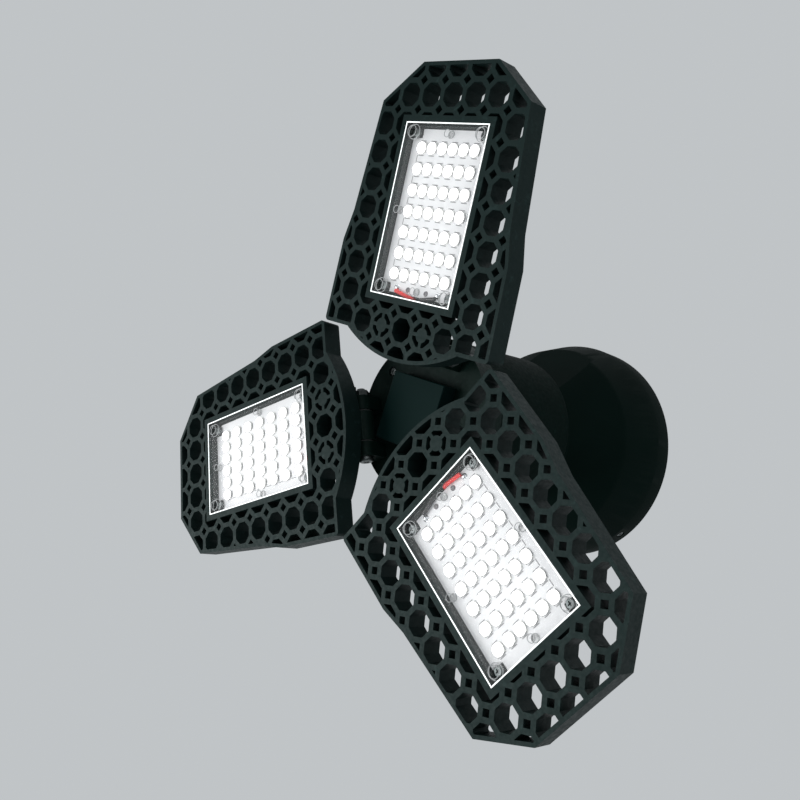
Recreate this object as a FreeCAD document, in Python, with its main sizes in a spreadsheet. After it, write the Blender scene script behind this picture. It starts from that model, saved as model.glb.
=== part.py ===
"""Ceiling light with three hinged lattice wings on a round hub, hung from a bell-shaped screw-in fitting.

All sizes are in millimetres. The frame's origin is the centre of the fitting's ceiling face,
+Z points up into the ceiling, and the front wing points towards -Y.
"""
import FreeCAD, Part
import math
import os

import Sketcher
from FreeCAD import Placement, Rotation, Vector

X_AXIS = Vector(1, 0, 0)
Y_AXIS = Vector(0, 1, 0)
Z_AXIS = Vector(0, 0, 1)
DOWN = Vector(0, 0, -1)

# ---------------------------------------------------------------------------
# Driving dimensions: name, value, what it is
# ---------------------------------------------------------------------------
CELLS = [
    # bell-shaped fitting on the ceiling
    ("canopy_radius", 58.2, "outer radius of the fitting's rim"),
    ("canopy_rim_height", 10.8, "straight rim against the ceiling"),
    ("canopy_rim_wall", 2.8, "thickness of that rim"),
    ("shoulder_radius", 51.2, "radius where the bell turns in"),
    ("bell_height", 21.8, "from the rim down to that turn"),
    ("neck_radius", 33.2, "radius of the bell's neck"),
    ("cone_height", 22.6, "from the turn down to the neck"),
    ("neck_height", 7.2, "straight neck down to the bell's mouth"),
    ("canopy_wall", 2.6, "moulded wall"),
    ("plate_depth", 2.5, "thickness of the back plate"),
    ("plate_ledge", 1.8, "width of the ledge that the plate sits on"),
    ("shoulder_round", 8.0, "rounding of the bell's shoulder"),
    ("neck_flat_depth", 3.8, "how deep the two flats cut into the neck"),
    ("shoulder_flat_depth", 2.4, "how deep they cut into the shoulder"),
    ("flat_wall", 3.6, "wall behind the flats"),
    ("plate_gap", 0.2, "clearance round the plate"),
    ("post_radius", 3.4, "screw posts"),
    ("lug_depth", 7.4, "the plate's two screw lugs, towards the axis"),
    ("lug_breadth", 9.0, "their width"),
    ("lug_height", 8.0, "their height"),
    ("side_screw_drop", 6.2, "ceiling face to the two side screws"),
    ("side_screw_angle", 35.0, "direction of the first side screw"),
    ("ceiling_screw_spacing", 88.9, "distance between the two ceiling screws"),
    ("ceiling_hole_radius", 2.4, "hole for a ceiling screw"),
    ("wire_hole_radius", 8.0, "supply cable hole in the plate"),
    ("wire_hole_offset", 22.0, "distance of that hole from the axis"),
    # lamp socket in the fitting
    ("cup_radius", 20.4, "insulating cup"),
    ("cup_gap", 0.3, "clearance of the cup in the mouth"),
    ("cup_inset", 1.2, "cup's open end inside the bell's mouth"),
    ("cup_floor", 3.0, "thickness of the cup's floor and flange"),
    ("cup_flange_edge", 4.0, "flange beyond its screws"),
    ("cup_post_gap", 0.6, "between the cup and the posts that carry it"),
    ("socket_room", 1.4, "room between lamp tip and cup floor"),
    ("leaf_width", 5.0, "centre contact leaf"),
    ("leaf_length", 15.0, "centre contact leaf"),
    ("leaf_depth", 0.5, "thickness of that leaf"),
    ("rivet_head", 0.6, "rivet of that leaf, behind the cup"),
    ("terminal_offset", 9.0, "terminal screws from the axis"),
    ("terminal_head_radius", 3.0, "heads of the terminal screws"),
    ("terminal_length", 2.6, "shanks of the terminal screws"),
    # screw base of the lamp, 26 mm Edison size
    ("thread_radius", 13.0, "outer radius of the thread's crests"),
    ("thread_depth", 0.8, "radial depth of the thread"),
    ("thread_pitch", 3.63, "seven threads to the inch"),
    ("thread_turns", 6, "rings of thread"),
    ("thread_gap", 0.3, "radial clearance in the socket"),
    ("shell_wall", 0.4, "sheet metal of both shells"),
    ("shell_skirt", 2.8, "plain sleeve below the thread"),
    ("base_cone", 3.5, "height of the glass insulator"),
    ("base_tip_radius", 4.8, "centre contact of the lamp"),
    ("base_tip_height", 1.5, "centre contact of the lamp"),
    # driver housing
    ("lamp_gap", 2.8, "room between the bell's mouth and the housing"),
    ("housing_height", 52.9, "height of the housing"),
    ("housing_flare", 2.5, "how much wider it is at its upper end"),
    ("housing_wall", 3.0, "moulded wall"),
    ("housing_edge", 3.0, "rounding of the upper edge"),
    ("collar_radius", 16.0, "collar below the screw base"),
    ("collar_height", 2.5, "collar below the screw base"),
    ("spigot_height", 9.0, "spigot inside the screw shell"),
    ("spigot_bore", 4.0, "wire bore through the spigot"),
    # hub
    ("hub_radius", 37.5, "hub disc and the housing that stands on it"),
    ("hub_depth", 12.0, "height of the hub disc"),
    ("hub_floor", 4.0, "thickness of the hub's lower wall"),
    ("hub_wall", 4.0, "side wall of the hub dish"),
    ("hub_spigot_height", 4.0, "ring that centres the housing"),
    ("hub_wire_hole", 6.0, "radius of the central wire hole"),
    ("hub_screw_inset", 7.5, "housing screws from the hub's edge"),
    ("head_sink", 0.3, "how deep a sunk screw head lies below its surface"),
    ("fit_gap", 0.2, "clearance between fixed parts that push together"),
    ("cap_width", 32.4, "square cap below the hub"),
    ("cap_depth", 8.3, "height of that cap"),
    ("cap_wall", 2.0, "wall of that cap"),
    ("cap_boss_height", 3.0, "square boss inside the cap"),
    # driver electronics
    ("driver_gap", 0.4, "between the round board and the housing's posts"),
    ("driver_depth", 1.6, "thickness of that board"),
    ("driver_stand", 10.1, "board above the hub's upper face"),
    ("driver_screw_inset", 3.7, "its screws from its edge"),
    ("core_width", 19.0, "transformer core"),
    ("core_length", 13.2, "transformer core"),
    ("core_height", 17.0, "transformer core"),
    ("winding_width", 13.3, "transformer winding"),
    ("winding_length", 22.0, "transformer winding"),
    ("winding_height", 11.9, "transformer winding"),
    ("can_radius", 5.0, "electrolytic capacitors"),
    ("can_height", 20.0, "electrolytic capacitors"),
    ("can_inset", 2.7, "between a capacitor and the board's edge"),
    ("chip_inset", 3.7, "between a small part and the board's edge"),
    ("chip_length", 7.0, "small parts"),
    ("chip_width", 5.0, "small parts"),
    ("chip_height", 4.0, "small parts"),
    # hinges
    ("hinge_radius", 29.0, "distance of a hinge axis from the lamp's axis"),
    ("hinge_below_hub", 8.55, "hub's lower face to the hinge axes"),
    ("knuckle_radius", 5.3, "round of the knuckle and the lugs"),
    ("knuckle_width", 14.4, "knuckle between the lugs"),
    ("lug_width", 7.0, "each lug"),
    ("washer_depth", 0.6, "friction washer"),
    ("washer_radius", 4.6, "friction washer"),
    ("side_gap", 0.05, "play beside each washer"),
    ("bolt_radius", 2.0, "hinge bolt, 4 mm"),
    ("bolt_play", 0.06, "running clearance of the bolt"),
    ("bolt_head_radius", 3.7, "hinge bolt head"),
    ("bolt_head_height", 2.2, "hinge bolt head"),
    ("nut_flats", 7.0, "width across the nut's flats"),
    ("nut_height", 3.2, "nut"),
    ("bolt_tail", 1.0, "bolt standing out of the nut"),
    # wing frame, lengths measured along the wing from the middle of its window
    ("wing_reach", 59.1, "hinge axis to the middle of the window"),
    ("knuckle_clear", 0.8, "between the hub's lugs and the bracket plate"),
    ("frame_depth", 9.9, "depth of the lattice"),
    ("tip_width", 43.9, "outer edge"),
    ("tip_reach", 64.75, "window middle to the outer edge"),
    ("chamfer_width", 87.1, "width where the cut corners start"),
    ("chamfer_reach", 47.8, "window middle to that width"),
    ("waist_width", 96.2, "width at the outer end of the side step"),
    ("waist_back", 3.0, "window middle to there, towards the hub"),
    ("step_width", 102.6, "width at the inner end of the side step"),
    ("step_back", 17.0, "window middle to there, towards the hub"),
    ("wing_gap", 2.5, "between a root corner and the plane between two wings, across the wing"),
    ("root_back", 56.4, "window middle to the hub side"),
    ("root_corner", 2.0, "rounding of the two hub-side corners"),
    ("bow_width", 71.0, "chord of the bowed middle of the hub side"),
    ("bow_height", 9.8, "how far it bows out"),
    ("rim_wall", 1.7, "wall round the lattice"),
    ("cell_pitch_across", 13.0, "lattice pitch across the wing"),
    ("cell_pitch_along", 12.8, "lattice pitch along the wing"),
    ("cell_shift", 0.8, "lattice offset towards the hub"),
    ("cell_rib", 2.35, "ribs between the holes"),
    ("cell_square", 3.1, "side of the small square holes"),
    ("blind_depth", 1.9, "depth of the lattice behind the window"),
    ("window_width", 50.0, "light window"),
    ("window_length", 77.5, "light window"),
    ("window_wall", 2.8, "wall round the window"),
    ("well_depth", 6.0, "depth of the window's well"),
    ("boss_radius", 3.3, "bosses for the bracket screws"),
    ("boss_rib", 1.6, "ribs that carry a boss"),
    ("lead_hole_radius", 1.3, "holes for the two leads"),
    ("lead_hole_offset", 2.2, "their distance from the wing's middle line"),
    ("lead_hole_inset", 1.0, "their distance from the window's hub end"),
    # light board and lens cover
    ("board_gap_across", 2.0, "aluminium circuit board to the window's long sides"),
    ("board_gap_along", 2.15, "the same to the window's short sides"),
    ("board_depth", 1.5, "thickness of that board"),
    ("notch_width", 5.5, "cut corners of that board, across"),
    ("notch_length", 4.0, "cut corners of that board, along"),
    ("led_columns", 6, "emitters across"),
    ("led_rows", 7, "emitters along"),
    ("led_edge_across", 7.0, "outer emitters from the board's long sides"),
    ("led_edge_along", 8.4, "outer emitters from the board's short sides"),
    ("led_width", 4.6, "emitter package"),
    ("led_depth", 0.5, "emitter package"),
    ("dome_radius", 2.8, "emitter lens"),
    ("dome_height", 1.7, "emitter lens"),
    ("cover_gap", 0.15, "clearance round the lens cover"),
    ("cover_wall", 1.2, "side wall of the lens cover"),
    ("cover_face", 1.5, "face of the lens cover"),
    ("pillar_radius", 3.4, "screw pillars in the cover's corners"),
    ("pillar_inset_across", 4.4, "pillar axis from the cover's long side"),
    ("pillar_inset_along", 4.0, "pillar axis from the cover's short side"),
    ("pillar_foot", 1.6, "foot of a pillar under the screw head"),
    ("stud_radius", 1.65, "clear studs that press on the board"),
    ("stud_inset_across", 1.6, "studs from the board's long sides"),
    ("stud_inset_along", 2.1, "studs from the board's short sides"),
    ("lead_radius", 0.9, "insulated lead"),
    ("lead_bend", 2.7, "radius of its bend, to its middle line"),
    ("lead_play", 0.05, "room between a lead and the board"),
    ("lead_tail", 10.2, "how far a lead runs away from its hole, across the wing"),
    ("lead_slant", 2.1, "how far it slants over the board on the way"),
    # bracket behind each wing
    ("bracket_side", 5.5, "plate beyond its two screws"),
    ("bracket_inner", 3.0, "plate from the hinge axis towards the hub"),
    ("bracket_lip", 5.65, "plate beyond the lead holes"),
    ("bracket_depth", 3.0, "thickness of that plate"),
    # small screws
    ("small_screw_radius", 1.2, "2.5 mm screws"),
    ("small_head_radius", 2.2, "their heads"),
    ("small_head_height", 1.6, "their heads"),
    ("small_screw_length", 8.0, "their shanks"),
    ("cover_screw_length", 3.6, "shanks in the wing's floor"),
    ("bracket_screw_radius", 1.45, "3 mm screws of the brackets"),
    ("bracket_head_radius", 2.8, "their countersunk heads"),
    ("bracket_screw_length", 8.5, "their whole length"),
    ("screw_play", 0.06, "clearance of a screw in its hole"),
]

# wings: name, turn about the lamp's axis, fold at rest (degrees, positive raises the tip)
WINGS = [
    ("front", 180.0, -6.0),
    ("right", -60.0, 1.3),
    ("left", 60.0, 0.0),
]

doc = FreeCAD.newDocument("WingLight")
sheet = doc.addObject("Spreadsheet::Sheet", "Sizes")
for row, (alias, value, note) in enumerate(CELLS, start=1):
    sheet.set(f"A{row}", note)
    sheet.set(f"B{row}", str(value))
    sheet.setAlias(f"B{row}", alias)
doc.recompute()


def size(alias):
    """The value of one cell."""
    return float(sheet.get(alias))


def value_of(expression):
    """The number that an expression on the sheet's cells gives."""
    return float(sheet.evalExpression(expression))


# ---------------------------------------------------------------------------
# Sizes worked out from the driving dimensions, as expressions on the sheet;
# a DROP is a distance below the ceiling face, a TOP or BACK a height (negative below it)
# ---------------------------------------------------------------------------
PILOT = "(Sizes.small_screw_radius + Sizes.screw_play)"
HEAD_ROOM = "(Sizes.small_head_radius + Sizes.screw_play)"
HEAD_SEAT = "(Sizes.small_head_height + Sizes.head_sink)"
# bell
SHOULDER_DROP = "(Sizes.canopy_rim_height + Sizes.bell_height)"
NECK_DROP = f"({SHOULDER_DROP} + Sizes.cone_height)"
MOUTH_DROP = f"({NECK_DROP} + Sizes.neck_height)"
PLATE_SEAT = "(Sizes.canopy_radius - Sizes.canopy_rim_wall)"
LEDGE_RADIUS = f"({PLATE_SEAT} - Sizes.plate_ledge)"
LUG_INNER = f"({LEDGE_RADIUS} - Sizes.plate_gap - Sizes.lug_depth)"
# lamp body
HOUSING_DROP = f"({MOUTH_DROP} + Sizes.lamp_gap)"
HUB_TOP_DROP = f"({HOUSING_DROP} + Sizes.housing_height)"
HUB_FACE_DROP = f"({HUB_TOP_DROP} + Sizes.hub_depth)"
HINGE_DROP = f"({HUB_FACE_DROP} + Sizes.hinge_below_hub)"
HOUSING_TOP_RADIUS = "(Sizes.hub_radius + Sizes.housing_flare)"
HUB_SCREW_CIRCLE = "(Sizes.hub_radius - Sizes.hub_screw_inset)"
HOUSING_SCREW = f"(Sizes.hub_depth + Sizes.hub_spigot_height + Sizes.small_screw_length - 1 - {HEAD_SEAT})"
DRIVER_DROP = f"({HUB_TOP_DROP} - Sizes.driver_stand)"
DRIVER_RADIUS = f"({HUB_SCREW_CIRCLE} - Sizes.post_radius - Sizes.driver_gap)"
DRIVER_SCREW_CIRCLE = f"({DRIVER_RADIUS} - Sizes.driver_screw_inset)"
CAN_OFFSET = f"({DRIVER_RADIUS} - Sizes.can_inset - Sizes.can_radius)"
CHIP_OFFSET = f"({DRIVER_RADIUS} - Sizes.chip_inset - Sizes.chip_width / 2)"
# screw base and socket
BASE_START = f"(-{HOUSING_DROP} + Sizes.collar_height)"
THREAD_LENGTH = "(Sizes.thread_turns * Sizes.thread_pitch)"
SHELL_TOP = f"({BASE_START} + Sizes.shell_skirt + {THREAD_LENGTH})"
TIP_TOP = f"({SHELL_TOP} + Sizes.base_cone + Sizes.base_tip_height)"
SOCKET_RADIUS = "(Sizes.thread_radius + Sizes.thread_gap + Sizes.shell_wall)"
CUP_MOUTH_DROP = f"({MOUTH_DROP} - Sizes.cup_inset)"
CUP_INSIDE = f"({TIP_TOP} + Sizes.socket_room)"
CUP_BACK = f"({CUP_INSIDE} + Sizes.cup_floor)"
CUP_POST_OFFSET = "(Sizes.cup_radius + Sizes.cup_post_gap + Sizes.post_radius)"
# hinges and brackets
LUG_START = "(Sizes.knuckle_width / 2 + Sizes.washer_depth + 2 * Sizes.side_gap)"
WING_DROP = "(Sizes.frame_depth + Sizes.bracket_depth + Sizes.knuckle_radius + Sizes.knuckle_clear)"
LEAD_HOLE_BACK = "(Sizes.window_length / 2 - Sizes.lead_hole_inset)"
BRACKET_OUTER = f"(Sizes.wing_reach - {LEAD_HOLE_BACK} + Sizes.bracket_lip)"
BRACKET_WIDTH = "(2 * Sizes.cell_pitch_across + 2 * Sizes.bracket_side)"
# wings
ROOT_FROM_LAMP = "(Sizes.hinge_radius + Sizes.wing_reach - Sizes.root_back)"
ROOT_WIDTH = f"(2 * ({ROOT_FROM_LAMP} * sqrt(3) - Sizes.wing_gap))"
COVER_WIDTH = "(Sizes.window_width - 2 * Sizes.cover_gap)"
COVER_LENGTH = "(Sizes.window_length - 2 * Sizes.cover_gap)"
BOARD_WIDTH = "(Sizes.window_width - 2 * Sizes.board_gap_across)"
BOARD_LENGTH = "(Sizes.window_length - 2 * Sizes.board_gap_along)"
LED_PITCH_ACROSS = f"(({BOARD_WIDTH} - 2 * Sizes.led_edge_across) / (Sizes.led_columns - 1))"
LED_PITCH_ALONG = f"(({BOARD_LENGTH} - 2 * Sizes.led_edge_along) / (Sizes.led_rows - 1))"

# ---------------------------------------------------------------------------
# Helpers for features
# ---------------------------------------------------------------------------
SUB_PARTS = []


def keep(feature, label, placement=None):
    """Mark a feature as a finished sub-part and put it in its place."""
    feature.Label = label
    if placement is not None:
        feature.Placement = placement
    SUB_PARTS.append(feature)
    return feature


def bind(feature, **expressions):
    """Bind properties of a feature to expressions on the sheet."""
    for name, expression in expressions.items():
        feature.setExpression(name, expression)
    return feature


def at(x=0.0, y=0.0, z=0.0, rotation=None):
    return Placement(Vector(x, y, z), rotation or Rotation())


def box(name, length, width, height, placement):
    """A box centred on its placement in X and Y, rising from it in Z."""
    feature = doc.addObject("Part::Box", name)
    bind(feature, Length=length, Width=width, Height=height)
    centred = Placement(Vector(-value_of(length) / 2, -value_of(width) / 2, 0), Rotation())
    feature.Placement = placement.multiply(centred)
    return feature


def rod(name, radius, height, placement):
    """A cylinder that rises from its placement."""
    feature = doc.addObject("Part::Cylinder", name)
    bind(feature, Radius=radius, Height=height)
    feature.Placement = placement
    return feature


def taper(name, low_radius, high_radius, height, placement):
    """A cone that rises from its placement."""
    feature = doc.addObject("Part::Cone", name)
    bind(feature, Radius1=low_radius, Radius2=high_radius, Height=height)
    feature.Placement = placement
    return feature


def fuse(name, features):
    feature = doc.addObject("Part::MultiFuse", name)
    feature.Shapes = features
    feature.Refine = True
    return feature


def cut(name, base, tool):
    feature = doc.addObject("Part::Cut", name)
    feature.Base = base
    feature.Tool = tool
    return feature


def group(name, features):
    """Separate solids under one name."""
    feature = doc.addObject("Part::Compound", name)
    feature.Links = features
    return feature


def solid_feature(name, shape):
    """A feature whose shape is made by Part's own functions."""
    feature = doc.addObject("Part::Feature", name)
    feature.Shape = shape
    return feature


def body_plane(body, role):
    for feature in body.Origin.OriginFeatures:
        if feature.Role == role:
            return feature
    raise ValueError(role)


def closed_sketch(body, name, role, corners):
    """A closed outline on an origin plane; every corner is bound to the sheet."""
    sketch = body.newObject("Sketcher::SketchObject", name)
    sketch.AttachmentSupport = [(body_plane(body, role), "")]
    sketch.MapMode = "FlatFace"
    points = [Vector(value_of(across), value_of(up), 0) for across, up in corners]
    for index, point in enumerate(points):
        following = points[(index + 1) % len(points)]
        sketch.addGeometry(Part.LineSegment(point, following), False)
    for index in range(len(points)):
        sketch.addConstraint(Sketcher.Constraint("Coincident", index, 2, (index + 1) % len(points), 1))
    for index, (across, up) in enumerate(corners):
        for kind, axis, expression in (("DistanceX", -2, across), ("DistanceY", -1, up)):
            if expression == "0":
                sketch.addConstraint(Sketcher.Constraint("PointOnObject", index, 1, axis))
                continue
            number = value_of(expression)
            constraint = sketch.addConstraint(Sketcher.Constraint(kind, -1, 1, index, 1, number))
            sketch.setExpression(f"Constraints[{constraint}]", expression)
    return sketch


def turned(name, corners):
    """A body turned about the lamp's axis from corners (radius, height)."""
    body = doc.addObject("PartDesign::Body", name)
    sketch = closed_sketch(body, name + "_profile", "XZ_Plane", corners)
    feature = body.newObject("PartDesign::Revolution", name + "_turn")
    feature.Profile = sketch
    feature.ReferenceAxis = (sketch, ["V_Axis"])
    feature.Angle = 360
    doc.recompute()
    return body


def padded_plate(name, corners, depth):
    """A body padded upwards from an outline on its own base plane."""
    body = doc.addObject("PartDesign::Body", name)
    sketch = closed_sketch(body, name + "_outline", "XY_Plane", corners)
    feature = body.newObject("PartDesign::Pad", name + "_pad")
    feature.Profile = sketch
    bind(feature, Length=depth)
    doc.recompute()
    return body


def flat_at(edge, height):
    """Whether an edge lies level at a height."""
    return abs(edge.BoundBox.ZMin - height) < 0.01 and edge.BoundBox.ZLength < 0.01


def rounded_edges(body, name, radius, picks):
    """Round the edges of a body's tip that the test picks."""
    tip = body.Tip
    names = []
    for index, edge in enumerate(tip.Shape.Edges, start=1):
        if picks(edge):
            names.append(f"Edge{index}")
    feature = body.newObject("PartDesign::Fillet", name)
    feature.Base = (tip, names)
    bind(feature, Radius=radius)
    doc.recompute()
    return feature


def pan_screw(name, radius, length, head_radius, head_height, placement):
    """A pan head screw: its shank rises from the placement, its head hangs below."""
    shank = rod(name + "_shank", radius, length, placement)
    head_place = placement.multiply(at(z=-value_of(head_height)))
    head = rod(name + "_head", head_radius, head_height, head_place)
    return fuse(name, [shank, head])


def round_places(radius, angles, height):
    """Places on a circle round the lamp's axis."""
    places = []
    for angle in angles:
        turn = math.radians(angle)
        places.append(at(radius * math.cos(turn), radius * math.sin(turn), height))
    return places


THREE_WAYS = (90.0, 210.0, 330.0)
THREE_BETWEEN = (30.0, 150.0, 270.0)
CAN_ANGLES = (0.0, 90.0, 180.0)
CHIP_ANGLES = (50.0, 120.0, 235.0, 305.0)

# ---------------------------------------------------------------------------
# Ceiling fitting
# ---------------------------------------------------------------------------


def bell_flats(name, inset):
    """Two prisms that plane the bell's -Y and +Y sides, set back towards the axis by an inset."""
    neck = f"(Sizes.neck_radius - Sizes.neck_flat_depth - {inset})"
    shoulder = f"(Sizes.shoulder_radius - Sizes.shoulder_flat_depth - {inset})"
    body = doc.addObject("PartDesign::Body", name)
    sketch = closed_sketch(body, name + "_side", "YZ_Plane", [
        (neck, f"-2 * {MOUTH_DROP}"),
        (neck, f"-{NECK_DROP}"),
        (shoulder, f"-{SHOULDER_DROP}"),
        (f"2 * {shoulder} - {neck}", f"-2 * {SHOULDER_DROP} + {NECK_DROP}"),
        ("2 * Sizes.canopy_radius", f"-2 * {SHOULDER_DROP} + {NECK_DROP}"),
        ("2 * Sizes.canopy_radius", f"-2 * {MOUTH_DROP}"),
    ])
    pad = body.newObject("PartDesign::Pad", name + "_pad")
    pad.Profile = sketch
    bind(pad, Length="2 * Sizes.canopy_radius")
    body.Placement = at(-size("canopy_radius"))
    doc.recompute()
    second = doc.addObject("Part::Mirroring", name + "_second")
    second.Source = body
    second.Normal = Y_AXIS
    doc.recompute()
    return [body, second]


def side_screw_place(turn, radius):
    """A place on the rim whose Z points towards the bell's axis."""
    angle = size("side_screw_angle") + turn
    about = Placement(Vector(0, 0, -size("side_screw_drop")), Rotation(Z_AXIS, angle))
    return about.multiply(Placement(Vector(radius, 0, 0), Rotation(Y_AXIS, -90)))


def make_canopy():
    """The bell-shaped shell, with the posts of the lamp socket."""
    outer = turned("canopy_outer", [
        ("0", "0"),
        ("Sizes.canopy_radius", "0"),
        ("Sizes.canopy_radius", "-Sizes.canopy_rim_height"),
        ("Sizes.shoulder_radius", f"-{SHOULDER_DROP}"),
        ("Sizes.neck_radius", f"-{NECK_DROP}"),
        ("Sizes.neck_radius", f"-{MOUTH_DROP}"),
        ("0", f"-{MOUTH_DROP}"),
    ])
    shoulder = value_of(SHOULDER_DROP)
    rounded_edges(outer, "canopy_shoulder", "Sizes.shoulder_round",
                  lambda edge: flat_at(edge, -shoulder))
    inner = turned("canopy_inner", [
        ("0", "0"),
        (PLATE_SEAT, "0"),
        (PLATE_SEAT, "-Sizes.plate_depth"),
        (LEDGE_RADIUS, "-Sizes.plate_depth"),
        (LEDGE_RADIUS, "-Sizes.canopy_rim_height"),
        ("Sizes.shoulder_radius - Sizes.canopy_wall", f"-{SHOULDER_DROP} + Sizes.canopy_wall / 2"),
        ("Sizes.neck_radius - Sizes.canopy_wall", f"-{NECK_DROP} + Sizes.canopy_wall / 2"),
        ("Sizes.neck_radius - Sizes.canopy_wall", f"-{MOUTH_DROP} + Sizes.canopy_wall"),
        ("0", f"-{MOUTH_DROP} + Sizes.canopy_wall"),
    ])
    mouth = value_of(MOUTH_DROP)
    post_offset = value_of(CUP_POST_OFFSET)
    solids = bell_flats("inner_flats", "Sizes.flat_wall")
    for side in (-1, 1):
        cup_post = at(0, side * post_offset, -mouth)
        solids.append(rod("cup_post", "Sizes.post_radius", f"{MOUTH_DROP} + {CUP_INSIDE}", cup_post))
    cavity = cut("canopy_cavity", inner, fuse("canopy_posts", solids))
    holes = bell_flats("outer_flats", "0")
    holes.append(rod("mouth_hole", "Sizes.cup_radius + Sizes.cup_gap", "Sizes.canopy_wall + 2",
                     at(z=-mouth - 1)))
    for side in (-1, 1):
        pilot_start = value_of(CUP_BACK) - size("small_screw_length") - 1
        holes.append(rod("cup_pilot", PILOT, "Sizes.small_screw_length + 2",
                         at(0, side * post_offset, pilot_start)))
    for turn in (0, 180):
        start = side_screw_place(turn, size("canopy_radius") + 1)
        holes.append(rod("side_hole", PILOT, f"Sizes.canopy_radius - {LUG_INNER}", start))
        holes.append(rod("side_seat", HEAD_ROOM, f"{HEAD_SEAT} + 1", start))
    hollow = cut("canopy_hollow", outer, cavity)
    keep(cut("canopy_bored", hollow, fuse("canopy_holes", holes)), "canopy_shell")


def make_back_plate():
    """The plate that is screwed to the ceiling and closes the bell, and its two side screws."""
    plate = rod("plate_disc", f"{PLATE_SEAT} - Sizes.plate_gap", "Sizes.plate_depth",
                at(z=-size("plate_depth")))
    features = [plate]
    below = -size("plate_depth") - 1
    through = "Sizes.plate_depth + 2"
    holes = [rod("supply_hole", "Sizes.wire_hole_radius", through, at(0, size("wire_hole_offset"), below))]
    for side in (-1, 1):
        holes.append(rod("plate_ceiling_hole", "Sizes.ceiling_hole_radius", through,
                         at(side * size("ceiling_screw_spacing") / 2, 0, below)))
    screws = []
    for turn in (0, 180):
        about = Placement(Vector(0, 0, -size("plate_depth") - size("lug_height")),
                          Rotation(Z_AXIS, size("side_screw_angle") + turn))
        middle = about.multiply(at(value_of(LUG_INNER) + size("lug_depth") / 2))
        features.append(box("plate_lug", "Sizes.lug_depth", "Sizes.lug_breadth",
                            "Sizes.lug_height + Sizes.plate_depth / 2", middle))
        holes.append(rod("lug_hole", PILOT, f"Sizes.canopy_radius - {LUG_INNER} + 2",
                         side_screw_place(turn, size("canopy_radius") + 1)))
        seat = side_screw_place(turn, size("canopy_radius") - value_of(HEAD_SEAT))
        screws.append(pan_screw("side_screw", "Sizes.small_screw_radius", "Sizes.small_screw_length",
                                "Sizes.small_head_radius", "Sizes.small_head_height", seat))
    keep(cut("plate_drilled", fuse("plate_lugged", features), fuse("plate_holes", holes)), "back_plate")
    keep(group("side_screw_pair", screws), "side_screws")


def ribbed_shell(name, outer_radius, low, high):
    """A sheet-metal screw shell, its thread drawn as rings, with a plain sleeve at its lower end."""
    wall = size("shell_wall")
    deep = size("thread_depth")
    pitch = size("thread_pitch")
    crests = [(outer_radius, low), (outer_radius, high - size("thread_turns") * pitch)]
    for turn in range(int(size("thread_turns"))):
        start = crests[1][1] + turn * pitch
        crests.append((outer_radius - deep, start + pitch / 2))
        crests.append((outer_radius, start + pitch))
    outside = [Vector(radius, 0, height) for radius, height in crests]
    inside = [Vector(radius - wall, 0, height) for radius, height in reversed(crests)]
    wire = Part.makePolygon(outside + inside + outside[:1])
    return solid_feature(name, Part.Face(wire).revolve(Vector(0, 0, 0), Z_AXIS, 360))


def make_socket():
    """The insulating cup with its screw shell, centre contact and terminals."""
    mouth = -value_of(CUP_MOUTH_DROP)
    post_offset = value_of(CUP_POST_OFFSET)
    cup_side = rod("cup_side", "Sizes.cup_radius", f"{CUP_MOUTH_DROP} + {CUP_BACK}", at(z=mouth))
    flange = rod("cup_flange", f"{CUP_POST_OFFSET} + Sizes.cup_flange_edge", "Sizes.cup_floor",
                 at(z=value_of(CUP_INSIDE)))
    holes = [rod("cup_bore", f"{SOCKET_RADIUS} + Sizes.screw_play", f"{CUP_MOUTH_DROP} + {CUP_INSIDE} + 1",
                 at(z=mouth - 1))]
    holes.append(rod("contact_hole", PILOT, "Sizes.cup_floor + 2", at(z=value_of(CUP_INSIDE) - 1)))
    for side in (-1, 1):
        holes.append(rod("flange_hole", PILOT, "Sizes.cup_floor + 2",
                         at(0, side * post_offset, value_of(CUP_INSIDE) - 1)))
        holes.append(rod("terminal_hole", PILOT, "Sizes.cup_floor + 2",
                         at(side * size("terminal_offset"), 0, value_of(CUP_INSIDE) - 1)))
    keep(cut("cup_drilled", fuse("cup_turned", [cup_side, flange]), fuse("cup_holes", holes)), "socket_cup")
    shell = ribbed_shell("socket_sheet", value_of(SOCKET_RADIUS), mouth + 1, value_of(SHELL_TOP))
    keep(shell, "socket_shell")
    leaf = box("contact_leaf", "Sizes.leaf_length", "Sizes.leaf_width", "Sizes.leaf_depth",
               at(z=value_of(TIP_TOP)))
    rivet = rod("contact_rivet", "Sizes.small_screw_radius", f"{CUP_BACK} - {TIP_TOP} + Sizes.rivet_head",
                at(z=value_of(TIP_TOP)))
    keep(fuse("contact_joined", [leaf, rivet]), "socket_contact")
    flip = Rotation(X_AXIS, 180)
    terminals = []
    clamps = []
    back = value_of(CUP_BACK)
    for side in (-1, 1):
        terminals.append(pan_screw("terminal_screw", "Sizes.small_screw_radius", "Sizes.terminal_length",
                                   "Sizes.terminal_head_radius", "Sizes.small_head_height",
                                   at(side * size("terminal_offset"), 0, back, flip)))
        clamps.append(pan_screw("cup_screw", "Sizes.small_screw_radius", "Sizes.small_screw_length",
                                "Sizes.small_head_radius", "Sizes.small_head_height",
                                at(0, side * post_offset, back, flip)))
    keep(group("terminal_pair", terminals), "terminal_screws")
    keep(group("cup_screw_pair", clamps), "cup_screws")


# ---------------------------------------------------------------------------
# Lamp body
# ---------------------------------------------------------------------------


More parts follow.
